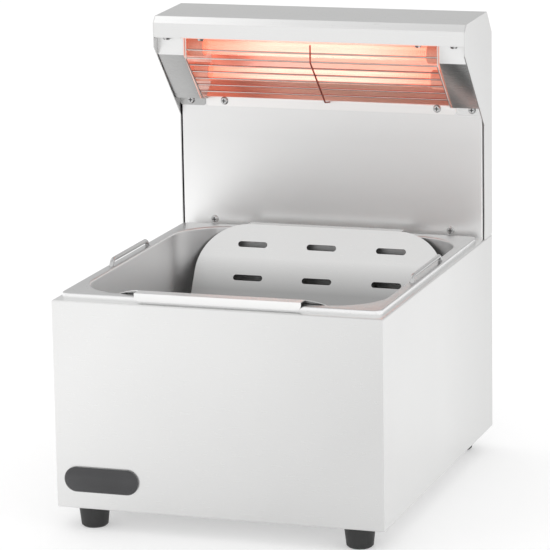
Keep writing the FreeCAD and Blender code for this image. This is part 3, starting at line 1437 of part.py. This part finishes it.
os.makedirs("parts", exist_ok=True)
for thing in pieces:
    thing.Shape.exportStep(f"parts/{thing.Label}.step")
    box = thing.Shape.BoundBox
    print(f"{thing.Label:24s} solids {len(thing.Shape.Solids)}  x {box.XMin:7.1f} {box.XMax:7.1f}"
          f"  y {box.YMin:7.1f} {box.YMax:7.1f}  z {box.ZMin:6.1f} {box.ZMax:6.1f}")
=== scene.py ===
import json
import math

import bmesh
import bpy
from mathutils import Matrix, Vector


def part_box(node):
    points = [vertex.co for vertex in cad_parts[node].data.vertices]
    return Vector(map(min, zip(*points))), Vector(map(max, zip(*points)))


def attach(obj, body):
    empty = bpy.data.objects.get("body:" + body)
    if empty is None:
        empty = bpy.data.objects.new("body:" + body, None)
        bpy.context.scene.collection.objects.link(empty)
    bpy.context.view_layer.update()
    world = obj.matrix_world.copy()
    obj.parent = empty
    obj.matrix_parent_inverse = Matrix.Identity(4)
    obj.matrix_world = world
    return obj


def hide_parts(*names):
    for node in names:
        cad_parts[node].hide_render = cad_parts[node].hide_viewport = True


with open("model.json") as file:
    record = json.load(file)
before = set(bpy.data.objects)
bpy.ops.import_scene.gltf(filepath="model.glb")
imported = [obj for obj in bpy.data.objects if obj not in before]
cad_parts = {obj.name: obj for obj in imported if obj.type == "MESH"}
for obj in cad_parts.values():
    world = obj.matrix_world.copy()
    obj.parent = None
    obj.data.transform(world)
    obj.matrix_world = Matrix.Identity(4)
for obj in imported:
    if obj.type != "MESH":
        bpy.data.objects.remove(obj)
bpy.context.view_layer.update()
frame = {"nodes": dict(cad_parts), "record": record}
scene = bpy.context.scene
MM = 0.001

# Places taken from the frame

middle = Vector((0.0, 0.0, 0.0))
shell_low, shell_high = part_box("housing_shell")
shell_upper_left = Vector((shell_low.x, shell_low.y, shell_high.z))
column_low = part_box("column_front_panel")[0]
reflector_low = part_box("reflector")[0]
pan_low, pan_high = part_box("pan")
insert_low, insert_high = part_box("drain_insert")
tube_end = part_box("upper_quartz_tube")[1].x

# Shader nodes

NOISE_RANGE = (0.3, 0.7)
COOLER_ENDS = (50.0 * MM, tube_end - 9.0 * MM)


class Graph:
    """The nodes of a material or of the world, with short ways to add and link them."""

    def __init__(self, owner):
        owner.use_nodes = True
        self.tree = owner.node_tree
        self.tree.nodes.clear()

    def add(self, kind, **values):
        node = self.tree.nodes.new(kind)
        for key, value in values.items():
            setattr(node, key, value)
        return node

    def link(self, source, target):
        self.tree.links.new(source, target)

    def axes(self, source):
        """The three parts of a vector, to be taken by the letter of their axis."""
        node = self.add("ShaderNodeSeparateXYZ")
        self.link(source, node.inputs["Vector"])
        return node.outputs

    def maths(self, operation, *sources):
        """A sum on one value or two, such as ABSOLUTE or MULTIPLY."""
        node = self.add("ShaderNodeMath", operation=operation)
        for source, socket in zip(sources, node.inputs):
            self.link(source, socket)
        return node.outputs["Value"]

    def ramp(self, source, low, high, start, end, curve="LINEAR"):
        """Low to high, while the source goes from start to end."""
        node = self.add("ShaderNodeMapRange", interpolation_type=curve)
        node.inputs["From Min"].default_value = start
        node.inputs["From Max"].default_value = end
        node.inputs["To Min"].default_value = low
        node.inputs["To Max"].default_value = high
        self.link(source, node.inputs["Value"])
        return node.outputs["Result"]


class Look(Graph):
    """A material of one Principled shader, whose sockets are set or fed one by one."""

    def __init__(self, name, metallic=0.0):
        self.material = bpy.data.materials.new(name)
        super().__init__(self.material)
        self.place = self.add("ShaderNodeTexCoord").outputs["Object"]
        self.shader = self.add("ShaderNodeBsdfPrincipled")
        output = self.add("ShaderNodeOutputMaterial")
        self.link(self.shader.outputs["BSDF"], output.inputs["Surface"])
        self.set("Metallic", metallic)

    def set(self, socket, value):
        self.shader.inputs[socket].default_value = value

    def feed(self, socket, source):
        self.link(source, self.shader.inputs[socket])

    def noise(self, cells, detail, rough=0.5):
        """Noise with so many cells in a metre along X, Y and Z."""
        stretch = self.add("ShaderNodeMapping")
        stretch.inputs["Scale"].default_value = cells
        self.link(self.place, stretch.inputs["Vector"])
        texture = self.add("ShaderNodeTexNoise")
        texture.inputs["Scale"].default_value = 1.0
        texture.inputs["Detail"].default_value = detail
        texture.inputs["Roughness"].default_value = rough
        self.link(stretch.outputs["Vector"], texture.inputs["Vector"])
        return texture.outputs["Fac"]

    def spread(self, noise, low, high):
        """Low to high over the range that most of the noise lies in."""
        return self.ramp(noise, low, high, *NOISE_RANGE)

    def mix(self, factor, first, second):
        node = self.add("ShaderNodeMix", data_type="RGBA")
        node.inputs["A"].default_value = (*first, 1.0)
        node.inputs["B"].default_value = (*second, 1.0)
        self.link(factor, node.inputs["Factor"])
        return node.outputs["Result"]

    def with_painted_shade(self, source, direction, start, end, level):
        """Painted shade: the colour, brought down to a level of itself between two places along a direction.
        """
        distance = self.add("ShaderNodeVectorMath", operation="DOT_PRODUCT")
        distance.inputs[1].default_value = direction
        self.link(self.place, distance.inputs[0])
        node = self.add("ShaderNodeMix", data_type="RGBA", blend_type="MULTIPLY")
        node.inputs["B"].default_value = (level, level, level, 1.0)
        self.link(source, node.inputs["A"])
        self.link(self.ramp(distance.outputs["Value"], 0.0, 1.0, start, end), node.inputs["Factor"])
        return node.outputs["Result"]

    def feed_bump(self, source, strength, height):
        node = self.add("ShaderNodeBump")
        node.inputs["Strength"].default_value = strength
        node.inputs["Distance"].default_value = height
        self.link(source, node.inputs["Height"])
        self.feed("Normal", node.outputs["Normal"])

    def feed_glow(self, hot, cooler):
        """Light of its own, of the cooler colour towards the ends of the tubes."""
        sideways = self.maths("ABSOLUTE", self.axes(self.place)["X"])
        self.feed("Emission Color", self.mix(self.ramp(sideways, 0.0, 1.0, *COOLER_ENDS), hot, cooler))


# Noise cells in a metre, along X, Y and Z

ALONG_X = (60.0, 1800.0, 1800.0)
ALONG_Y = (1800.0, 60.0, 1800.0)
ALL_WAYS = (300.0, 300.0, 300.0)
SMUDGES = (9.0, 9.0, 9.0)
DRAWING_MARKS = (900.0, 900.0, 900.0)
MOULD_GRAIN = (1500.0, 1500.0, 1500.0)
MOULD_PATCHES = (25.0, 25.0, 25.0)
HEAT_SCALE = (700.0, 700.0, 700.0)
QUARTZ_HAZE = (40.0, 500.0, 500.0)
FLOOR_SPECKS = (3.0, 3.0, 3.0)

# Sheet steel

DOWN_RIGHT = Vector((0.7, 0.0, -0.7))
BACKWARD = Vector((0.0, 1.0, 0.0))
DOWNWARD = Vector((0.0, 0.0, -1.0))
UPWARD = Vector((0.0, 0.0, 1.0))
LEFTWARD = Vector((-1.0, 0.0, 0.0))
RIGHTWARD = Vector((1.0, 0.0, 0.0))
SCRATCH_DETAIL = {"detail": 4.0, "rough": 0.65}
SCRATCH_SPREAD = 0.03
SCRATCH_STRENGTH = 0.008
SMUDGED_SHARE = 0.98
SKIN_RELIEF = 0.2 * MM
WARMTH = 0.005


def steel(level):
    """A grey that is a touch warm."""
    return (level, level, level - WARMTH)


def grey(level):
    return (level, level, level)


def painted_shade_ramp(corner, direction, start, end, level):
    """Painted shade: the tone falls to a level between two distances, in mm, past a corner along a
    direction.
    """
    first = corner.dot(direction)
    return direction, first + start * MM, first + end * MM, level


def brushed(name, grain, colour, rough, painted_shading=None):
    """Brushed or satin sheet steel, with fine scratches and broad, faint smudges, and painted shade along a
    direction if one is given.
    """
    look = Look(name, metallic=1.0)
    scratches = look.noise(grain, **SCRATCH_DETAIL)
    smudges = look.noise(SMUDGES, detail=2.0)
    smudged = tuple(part * SMUDGED_SHARE for part in colour)
    tone = look.mix(look.spread(smudges, 0.0, 1.0), smudged, colour)
    if painted_shading:
        tone = look.with_painted_shade(tone, *painted_shading)
    look.feed("Base Color", tone)
    look.feed("Roughness", look.spread(scratches, rough - SCRATCH_SPREAD, rough + SCRATCH_SPREAD))
    look.feed_bump(scratches, SCRATCH_STRENGTH, SKIN_RELIEF)
    return look.material


# painted shade: the housing front darker towards the lower right
front_steel_painted_shade = brushed("front_steel_painted_shade", ALONG_X, steel(0.84), 0.30,
                      painted_shade_ramp(shell_upper_left, DOWN_RIGHT, 58.0, 298.0, 0.80))
# painted shade: the sides darker than the front, and darker towards the back
side_steel_painted_shade = brushed("side_steel_painted_shade", ALONG_Y, steel(0.78), 0.34, painted_shade_ramp(middle, BACKWARD, 0.0, 190.0, 0.88))
ledge_steel = brushed("ledge_steel", ALONG_Y, steel(0.78), 0.32)
hood_steel = brushed("hood_steel", ALONG_X, steel(0.80), 0.30)
# painted shade: the hood's top faces darker than its other faces
hood_top_painted_shade = brushed("hood_top_painted_shade", ALONG_X, steel(0.65), 0.30)
# painted highlight: the hood's chamfer lighter
chamfer_painted_highlight = brushed("chamfer_painted_highlight", ALONG_X, steel(0.93), 0.30)
rear_steel = brushed("rear_steel", ALONG_X, steel(0.78), 0.32)
# painted shade: the column front darker from 25 mm to 100 mm above its lower edge
column_steel_painted_shade = brushed("column_steel_painted_shade", ALONG_X, steel(0.97), 0.36,
                       painted_shade_ramp(column_low, UPWARD, 25.0, 100.0, 0.855))
strip_steel = brushed("strip_steel", ALONG_X, (0.92, 0.91, 0.90), 0.38)
inner_steel = brushed("inner_steel", ALONG_Y, grey(0.62), 0.40)
# painted shade: the cheek plates darker towards the left
lamp_steel = brushed("lamp_steel", ALONG_X, steel(0.74), 0.26, painted_shade_ramp(middle, LEFTWARD, -50.0, 50.0, 0.63))
# painted light: the cheek plates' front faces lighter than the rest of the plates
knee_steel_painted_light = brushed("knee_steel_painted_light", ALONG_X, steel(0.84), 0.34)
# painted shade: the pan darker everywhere but along its left wall
pan_metal_painted_shade = brushed("pan_metal_painted_shade", ALL_WAYS, grey(0.88), 0.43, painted_shade_ramp(pan_low, RIGHTWARD, 12.5, 37.5, 0.74))
# painted shade: the rim's top faces darker
rim_top_painted_shade = brushed("rim_top_painted_shade", ALL_WAYS, grey(0.60), 0.30)
# painted highlight: the rim's outer bead lighter
bead_painted_highlight = brushed("bead_painted_highlight", ALL_WAYS, grey(0.90), 0.24)
# painted shade: the rear hook's top faces darker
hook_painted_shade = brushed("hook_painted_shade", ALONG_X, steel(0.60), 0.30)
# painted shade: the insert darker towards the bottom of its curve
insert_metal_painted_shade = brushed("insert_metal_painted_shade", ALONG_X, steel(0.75), 0.30,
                       painted_shade_ramp(insert_high, DOWNWARD, 31.7, 63.7, 0.46))
# painted highlight: the insert's front lip lighter
lip_painted_highlight = brushed("lip_painted_highlight", ALONG_X, steel(0.93), 0.34)

# Wire and screws

DRAWN_STRENGTH = 0.03
DRAWN_RELIEF = 0.1 * MM
SMOOTHER = 0.7
ROUGHER = 1.4


def bright(name, colour, rough):
    """Bright wire or plated steel with faint drawing marks."""
    look = Look(name, metallic=1.0)
    look.set("Base Color", (*colour, 1.0))
    marks = look.noise(DRAWING_MARKS, detail=2.0)
    look.feed("Roughness", look.spread(marks, rough * SMOOTHER, rough * ROUGHER))
    look.feed_bump(marks, DRAWN_STRENGTH, DRAWN_RELIEF)
    return look.material


# painted reflection: the guard's pink tint stands in for the tubes' glow on it
guard_chrome = bright("guard_chrome", (0.72, 0.60, 0.56), 0.14)
hot_wire = bright("hot_wire", (0.42, 0.11, 0.08), 0.3)
handle_wire = bright("handle_wire", grey(0.56), 0.16)
screw_metal = bright("screw_metal", grey(0.55), 0.25)
# painted shade: near-black in the screw recesses and round the heads
recess_painted_shade = bright("recess_painted_shade", grey(0.07), 0.4)

# Rubber, plastic and enamel

PATCH_GAIN = 1.25
PATCH_LIFT = 0.004
MOULD_SPREAD = 0.06


def moulded(name, colour, rough, grain_strength=0.06, coat=0.0):
    """A fine moulded skin, in patches that are a little lighter or darker."""
    look = Look(name)
    grain = look.noise(MOULD_GRAIN, detail=3.0)
    patches = look.noise(MOULD_PATCHES, detail=2.0)
    lighter = tuple(part * PATCH_GAIN + PATCH_LIFT for part in colour)
    look.feed("Base Color", look.mix(look.spread(patches, 0.0, 1.0), colour, lighter))
    look.feed("Roughness", look.spread(grain, rough - MOULD_SPREAD, rough + MOULD_SPREAD))
    look.feed_bump(grain, grain_strength, SKIN_RELIEF)
    look.set("Coat Weight", coat)
    return look.material


foot_rubber = moulded("foot_rubber", grey(0.018), 0.55)
badge_enamel = moulded("badge_enamel", (0.022, 0.022, 0.024), 0.14, grain_strength=0.0, coat=0.5)
black_plastic = moulded("black_plastic", grey(0.02), 0.45)
rocker_plastic = moulded("rocker_plastic", grey(0.015), 0.2)
white_plastic = moulded("white_plastic", (0.72, 0.71, 0.68), 0.4)

# Hot pieces, and pieces with painted glow from them

SCALED_SHARE = 0.8
SCALE_ROUGHNESS = (0.5, 0.7)
TROUGH_ROUGHNESS = (0.27, 0.33)
# painted glow on the reflector
TROUGH_PAINTED_GLOW = 0.16
QUARTZ_GLOW = (0.20, 0.28)
# painted glow on the lamp caps
CAP_PAINTED_GLOW = (1.0, 0.26, 0.15)


def glowing(name, colour, hot, cooler, strength):
    """A wire or cap with fine uneven scale on its skin, and light of its own; the caps' light is painted
    glow from the tubes.
    """
    look = Look(name)
    scale = look.noise(HEAT_SCALE, detail=2.0)
    scaled = tuple(part * SCALED_SHARE for part in colour)
    look.feed("Base Color", look.mix(look.spread(scale, 0.0, 1.0), colour, scaled))
    look.feed("Roughness", look.spread(scale, *SCALE_ROUGHNESS))
    look.feed_glow(hot, cooler)
    look.set("Emission Strength", strength)
    return look.material


def painted_glow_trough(name):
    """The folded reflector: steel with the tubes' red glow painted into its colour and given as light of its
    own.
    """
    look = Look(name, metallic=1.0)
    scratches = look.noise(ALONG_X, **SCRATCH_DETAIL)
    share = look.spread(scratches, 0.0, 1.0)
    look.feed("Base Color", look.mix(share, (0.88, 0.60, 0.52), (0.92, 0.64, 0.56)))
    look.feed("Roughness", look.spread(scratches, *TROUGH_ROUGHNESS))
    look.feed_glow((1.0, 0.48, 0.36), (1.0, 0.26, 0.17))
    look.set("Emission Strength", TROUGH_PAINTED_GLOW)
    return look.material


def quartz(name):
    """A thin clear tube that scatters a little of the coil's light."""
    look = Look(name)
    look.set("Base Color", (1.0, 0.86, 0.80, 1.0))
    look.set("Roughness", 0.12)
    look.set("IOR", 1.12)
    look.set("Transmission Weight", 0.9)
    haze = look.noise(QUARTZ_HAZE, detail=2.0)
    look.feed_glow((1.0, 0.72, 0.62), (1.0, 0.24, 0.15))
    look.feed("Emission Strength", look.spread(haze, *QUARTZ_GLOW))
    return look.material


coil_glow = glowing("coil_glow", (0.4, 0.12, 0.06), (1.0, 0.58, 0.48), (1.0, 0.30, 0.21), 0.95)
# painted glow: the caps' orange colour and light stand in for the tubes' glow on them
cap_ceramic_painted_glow = glowing("cap_ceramic_painted_glow", (0.76, 0.42, 0.33), CAP_PAINTED_GLOW, CAP_PAINTED_GLOW, 0.27)
# painted glow: the reflector's pink colour and light stand in for the tubes' glow
reflector_painted_glow = painted_glow_trough("reflector_painted_glow")
quartz_glow = quartz("quartz_glow")

# Dressing the nodes

SMOOTH_ANGLE = math.radians(32.0)
BEVEL_ANGLE = math.radians(40.0)
FLAT_ANGLE = math.radians(0.2)
WELD_DISTANCE = 0.001 * MM
BEVEL_SEGMENTS = 2
CRISP = 0.0
FINEST_EDGE = 0.15 * MM
FINE_EDGE = 0.2 * MM
SHEET_EDGE = 0.25 * MM
BROAD_EDGE = 0.3 * MM

record = frame["record"]
body_of = {member: body for body, members in record["behaviour"]["bodies"].items() for member in members}


def finish_piece(obj, material, node):
    """Gives a piece its material and its node's body, and hides the node."""
    obj.data.materials.clear()
    obj.data.materials.append(material)
    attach(obj, body_of[node])
    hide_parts(node)


def smooth_by_angle(mesh):
    """Smooth faces, with the sharper edges kept crisp."""
    for polygon in mesh.polygons:
        polygon.use_smooth = True
    mesh.set_sharp_from_angle(angle=SMOOTH_ANGLE)


def welded_copy(node, name):
    """The node's own shape as one joined skin."""
    mesh = frame["nodes"][node].data.copy()
    mesh.name = name
    work = bmesh.new()
    work.from_mesh(mesh)
    bmesh.ops.remove_doubles(work, verts=work.verts, dist=WELD_DISTANCE)
    bmesh.ops.dissolve_limit(work, angle_limit=FLAT_ANGLE, verts=work.verts, edges=work.edges)
    work.to_mesh(mesh)
    work.free()
    obj = bpy.data.objects.new(name, mesh)
    scene.collection.objects.link(obj)
    return obj


def dress(node, material, bevel):
    """Gives a node softly rounded edges, so that they catch the light."""
    obj = welded_copy(node, node + "_skin")
    smooth_by_angle(obj.data)
    if bevel:
        edge = obj.modifiers.new("soft_edges", "BEVEL")
        edge.width = bevel
        edge.segments = BEVEL_SEGMENTS
        edge.limit_method = "ANGLE"
        edge.angle_limit = BEVEL_ANGLE
        edge.use_clamp_overlap = True
        edge.harden_normals = True
    finish_piece(obj, material, node)
    return obj


# Each node's finish, some with painted shade or glow, and how wide its rounded edges are.
DRESSED = {
    "housing_shell": (ledge_steel, SHEET_EDGE),
    "base_plate": (inner_steel, CRISP),
    "lower_rear_panel": (rear_steel, SHEET_EDGE),
    "well_partition": (inner_steel, FINE_EDGE),
    "column_front_panel": (column_steel_painted_shade, SHEET_EDGE),
    "column_bracket": (inner_steel, FINE_EDGE),
    "left_hood_side": (side_steel_painted_shade, BROAD_EDGE),
    "right_hood_side": (side_steel_painted_shade, BROAD_EDGE),
    "hood_top_cover": (hood_steel, BROAD_EDGE),
    "rear_cover": (rear_steel, SHEET_EDGE),
    "left_cheek_plate": (lamp_steel, FINE_EDGE),
    "right_cheek_plate": (lamp_steel, FINE_EDGE),
    "reflector": (reflector_painted_glow, FINE_EDGE),
    "left_reflector_end": (reflector_painted_glow, FINEST_EDGE),
    "right_reflector_end": (reflector_painted_glow, FINEST_EDGE),
    "upper_quartz_tube": (quartz_glow, CRISP),
    "lower_quartz_tube": (quartz_glow, CRISP),
    "upper_left_lamp_cap": (cap_ceramic_painted_glow, FINE_EDGE),
    "upper_right_lamp_cap": (cap_ceramic_painted_glow, FINE_EDGE),
    "lower_left_lamp_cap": (cap_ceramic_painted_glow, FINE_EDGE),
    "lower_right_lamp_cap": (cap_ceramic_painted_glow, FINE_EDGE),
    "wire_guard": (guard_chrome, CRISP),
    "pan": (pan_metal_painted_shade, CRISP),
    "left_handle": (handle_wire, CRISP),
    "right_handle": (handle_wire, CRISP),
    "left_handle_stops": (handle_wire, FINE_EDGE),
    "right_handle_stops": (handle_wire, FINE_EDGE),
    "drain_insert": (insert_metal_painted_shade, FINE_EDGE),
    "front_left_foot": (foot_rubber, FINE_EDGE),
    "front_right_foot": (foot_rubber, FINE_EDGE),
    "rear_left_foot": (foot_rubber, FINE_EDGE),
    "rear_right_foot": (foot_rubber, FINE_EDGE),
    "switch_housing": (black_plastic, FINE_EDGE),
    "power_switch": (rocker_plastic, SHEET_EDGE),
    "cable_gland": (black_plastic, FINE_EDGE),
    "gland_nut": (black_plastic, FINE_EDGE),
    "terminal_block": (white_plastic, FINE_EDGE),
    "badge": (badge_enamel, CRISP),
    "foot_screws": (screw_metal, CRISP),
    "column_screws": (screw_metal, CRISP),
    "rear_cover_screws": (screw_metal, CRISP),
    "lower_rear_screws": (screw_metal, CRISP),
    "lower_lamp_screws": (screw_metal, CRISP),
    "upper_lamp_screws": (screw_metal, CRISP),
}
skins = {}
for node, (material, bevel) in DRESSED.items():
    skins[node] = dress(node, material, bevel)

# The steel round the trough would otherwise mirror its red glow.
skins["reflector"].visible_glossy = False

# Faces with a finish of their own, and faces with painted shade or painted highlights

# How far a face's normal points along an axis, from 0 to 1.
SQUARE_ON = 0.99
NEARLY_SQUARE_ON = 0.95
LEVEL = 0.9
FACING = 0.7
LEANING = 0.5
EDGE_ON = 0.3

GUARD_WIRE_REACH = 1.6 * MM
RECESS_START = 0.8 * MM
BEAD_REACH = 4.0 * MM
strip_top = reflector_low.z + 10.5 * MM
lip_foot = insert_high.z - 9.0 * MM
lip_back = insert_low.y + 3.0 * MM
hook_start = insert_high.y - 12.0 * MM
rim_foot = pan_high.z - 3.0 * MM
bead_foot = rim_foot - 3.0 * MM


def paint_faces(node, material, chosen):
    """Gives some faces of a skin another finish or painted shade or highlight; chosen takes a face's middle
    and its normal.
    """
    mesh = skins[node].data
    mesh.materials.append(material)
    index = len(mesh.materials) - 1
    for polygon in mesh.polygons:
        if chosen(polygon.center, polygon.normal):
            polygon.material_index = index


# painted shade: the shell's sides take the darker side steel
paint_faces("housing_shell", side_steel_painted_shade, lambda place, normal: abs(normal.x) > FACING)
# painted shade on the housing's front faces
paint_faces("housing_shell", front_steel_painted_shade, lambda place, normal: normal.y < -FACING)
paint_faces("reflector", strip_steel, lambda place, normal: place.z < strip_top)
paint_faces("wire_guard", hot_wire, lambda place, normal: abs(place.x) < GUARD_WIRE_REACH)
# painted light on the front faces of the cheek plates above the strip
for node in ("left_cheek_plate", "right_cheek_plate"):
    paint_faces(node, knee_steel_painted_light, lambda place, normal: normal.y < -NEARLY_SQUARE_ON and place.z > strip_top)
# painted shade in the screw recesses and round the heads
for node in ("column_screws", "lower_lamp_screws"):
    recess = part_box(node)[0].y + RECESS_START
    paint_faces(node, recess_painted_shade, lambda place, normal: (
        abs(normal.y) < EDGE_ON or (normal.y < -SQUARE_ON and place.y > recess)))
# painted shade on the rim's top faces
paint_faces("pan", rim_top_painted_shade, lambda place, normal: normal.z > FACING and place.z > rim_foot)
# painted highlight on the rim's outer bead
paint_faces("pan", bead_painted_highlight, lambda place, normal: (
    abs(normal.z) < FACING and place.z > bead_foot and (
        place.y < pan_low.y + BEAD_REACH or abs(place.x) > pan_high.x - BEAD_REACH)))
# painted shade on the hood's top faces
paint_faces("hood_top_cover", hood_top_painted_shade, lambda place, normal: normal.z > LEVEL)
# painted highlight on the hood's chamfer
paint_faces("hood_top_cover", chamfer_painted_highlight, lambda place, normal: EDGE_ON < normal.z < LEVEL)
# painted highlight on the insert's front lip
paint_faces("drain_insert", lip_painted_highlight, lambda place, normal: (
    normal.y < -FACING and place.y < lip_back and place.z > lip_foot))
# painted shade on the rear hook's top faces
paint_faces("drain_insert", hook_painted_shade, lambda place, normal: (
    normal.z > LEANING and place.y > hook_start and place.z > lip_foot))

# Heating coils

COIL_TURNS = 110
STEPS_A_TURN = 12
COIL_WIRE_RADIUS = 0.4 * MM
COIL_LEAD = 13.0 * MM
COIL_END_GAP = 1.0 * MM
COIL_WIRE_ROUNDNESS = 2


def make_coil(node):
    """The glowing wire, wound as a helix along its tube, with straight leads at both ends."""
    low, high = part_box(node)
    axis = (low + high) / 2
    radius = (high.z - low.z) / 2 - COIL_WIRE_RADIUS
    start = low.x + COIL_LEAD
    end = high.x - COIL_LEAD
    steps = COIL_TURNS * STEPS_A_TURN
    points = [Vector((low.x + COIL_END_GAP, axis.y, axis.z))]
    for index in range(steps + 1):
        share = index / steps
        angle = 2 * math.pi * COIL_TURNS * share
        points.append(Vector((start + (end - start) * share, axis.y + radius * math.cos(angle),
                              axis.z + radius * math.sin(angle))))
    points.append(Vector((high.x - COIL_END_GAP, axis.y, axis.z)))
    curve = bpy.data.curves.new(node + "_winding", "CURVE")
    curve.dimensions = "3D"
    curve.bevel_depth = COIL_WIRE_RADIUS
    curve.bevel_resolution = COIL_WIRE_ROUNDNESS
    spline = curve.splines.new("POLY")
    spline.points.add(len(points) - 1)
    for point, place in zip(spline.points, points):
        point.co = (*place, 1.0)
    obj = bpy.data.objects.new(node + "_winding", curve)
    scene.collection.objects.link(obj)
    finish_piece(obj, coil_glow, node)


for node in ("upper_heating_coil", "lower_heating_coil"):
    make_coil(node)

# Floor

FLOOR_SPAN = 6.0
FLOOR_LEVEL = 0.69
FLOOR_LIFT = 0.36
SPECK_SHARE = 0.995
WHITE = (1.0, 1.0, 1.0, 1.0)


def pale_floor(name):
    """A pale matt floor that also gives off a little light, so that only real shade darkens it."""
    look = Look(name)
    specks = look.noise(FLOOR_SPECKS, detail=2.0)
    share = look.spread(specks, 0.0, 1.0)
    look.feed("Base Color", look.mix(share, grey(FLOOR_LEVEL), grey(FLOOR_LEVEL * SPECK_SHARE)))
    look.set("Roughness", 1.0)
    look.set("Specular IOR Level", 0.0)
    look.set("Emission Color", WHITE)
    look.set("Emission Strength", FLOOR_LIFT)
    return look.material


corners = [(-FLOOR_SPAN, -FLOOR_SPAN, 0.0), (FLOOR_SPAN, -FLOOR_SPAN, 0.0),
           (FLOOR_SPAN, FLOOR_SPAN, 0.0), (-FLOOR_SPAN, FLOOR_SPAN, 0.0)]
floor_mesh = bpy.data.meshes.new("floor")
floor_mesh.from_pydata(corners, [], [(0, 1, 2, 3)])
floor = bpy.data.objects.new("floor", floor_mesh)
floor.data.materials.append(pale_floor("floor_white"))
scene.collection.objects.link(floor)

# Light

OVERHEAD_LEVEL = 0.66
OVERHEAD_RANGE = (0.70, 0.97)
BEHIND_LEVEL = 0.72
BEHIND_RANGE = (0.0, 0.9)
LAMP_PLACE = Vector((-0.85, 0.2, 1.7))
LAMP_TARGET = Vector((-0.1, 0.0, 0.3))
LAMP_SIZE = 0.7
LAMP_POWER = 1.2


def studio_world():
    """White all round; in gloss, a soft studio that falls off behind and right above."""
    world = bpy.data.worlds.new("studio")
    graph = Graph(world)

    def backdrop():
        node = graph.add("ShaderNodeBackground")
        node.inputs["Color"].default_value = WHITE
        return node

    def either(factor, first, second):
        node = graph.add("ShaderNodeMixShader")
        graph.link(factor, node.inputs["Fac"])
        graph.link(first, node.inputs[1])
        graph.link(second, node.inputs[2])
        return node.outputs["Shader"]

    axes = graph.axes(graph.add("ShaderNodeTexCoord").outputs["Generated"])
    overhead = graph.ramp(axes["Z"], 1.0, OVERHEAD_LEVEL, *OVERHEAD_RANGE, curve="SMOOTHSTEP")
    behind = graph.ramp(axes["Y"], 1.0, BEHIND_LEVEL, *BEHIND_RANGE, curve="SMOOTHSTEP")
    soft = backdrop()
    graph.link(graph.maths("MULTIPLY", overhead, behind), soft.inputs["Strength"])
    white = backdrop().outputs["Background"]
    ray = graph.add("ShaderNodeLightPath").outputs
    gloss = either(ray["Is Glossy Ray"], white, soft.outputs["Background"])
    seen = either(ray["Is Transmission Ray"], gloss, white)
    output = graph.add("ShaderNodeOutputWorld")
    graph.link(seen, output.inputs["Surface"])
    return world


scene.world = studio_world()

lamp_data = bpy.data.lights.new("top_left", "AREA")
lamp_data.shape = "SQUARE"
lamp_data.size = LAMP_SIZE
lamp_data.energy = LAMP_POWER
lamp = bpy.data.objects.new("top_left", lamp_data)
lamp.location = LAMP_PLACE
lamp.rotation_euler = (LAMP_TARGET - LAMP_PLACE).to_track_quat("-Z", "Y").to_euler()
scene.collection.objects.link(lamp)

# Camera

SENSOR_WIDTH = 36.0
LENS = 215.0
FAR_CLIP = 50.0
CAMERA_TARGET = Vector((1.49, -27.0, 225.4)) * MM
CAMERA_DISTANCE = 3296.4 * MM
AZIMUTH = math.radians(18.549)
ELEVATION = math.radians(12.419)
ROLL = math.radians(-0.984)

camera_data = bpy.data.cameras.new("camera")
camera_data.sensor_width = SENSOR_WIDTH
camera_data.lens = LENS
camera_data.clip_end = FAR_CLIP
camera = bpy.data.objects.new("camera", camera_data)
scene.collection.objects.link(camera)
back = Vector((math.sin(AZIMUTH) * math.cos(ELEVATION), -math.cos(AZIMUTH) * math.cos(ELEVATION),
               math.sin(ELEVATION)))
right = Vector((math.cos(AZIMUTH), math.sin(AZIMUTH), 0.0))
up = back.cross(right)
tilted_right = right * math.cos(ROLL) + up * math.sin(ROLL)
tilted_up = up * math.cos(ROLL) - right * math.sin(ROLL)
turn = Matrix((tilted_right, tilted_up, back)).transposed().to_4x4()
camera.matrix_world = Matrix.Translation(CAMERA_TARGET + back * CAMERA_DISTANCE) @ turn
scene.camera = camera
scene.view_settings.view_transform = "Standard"
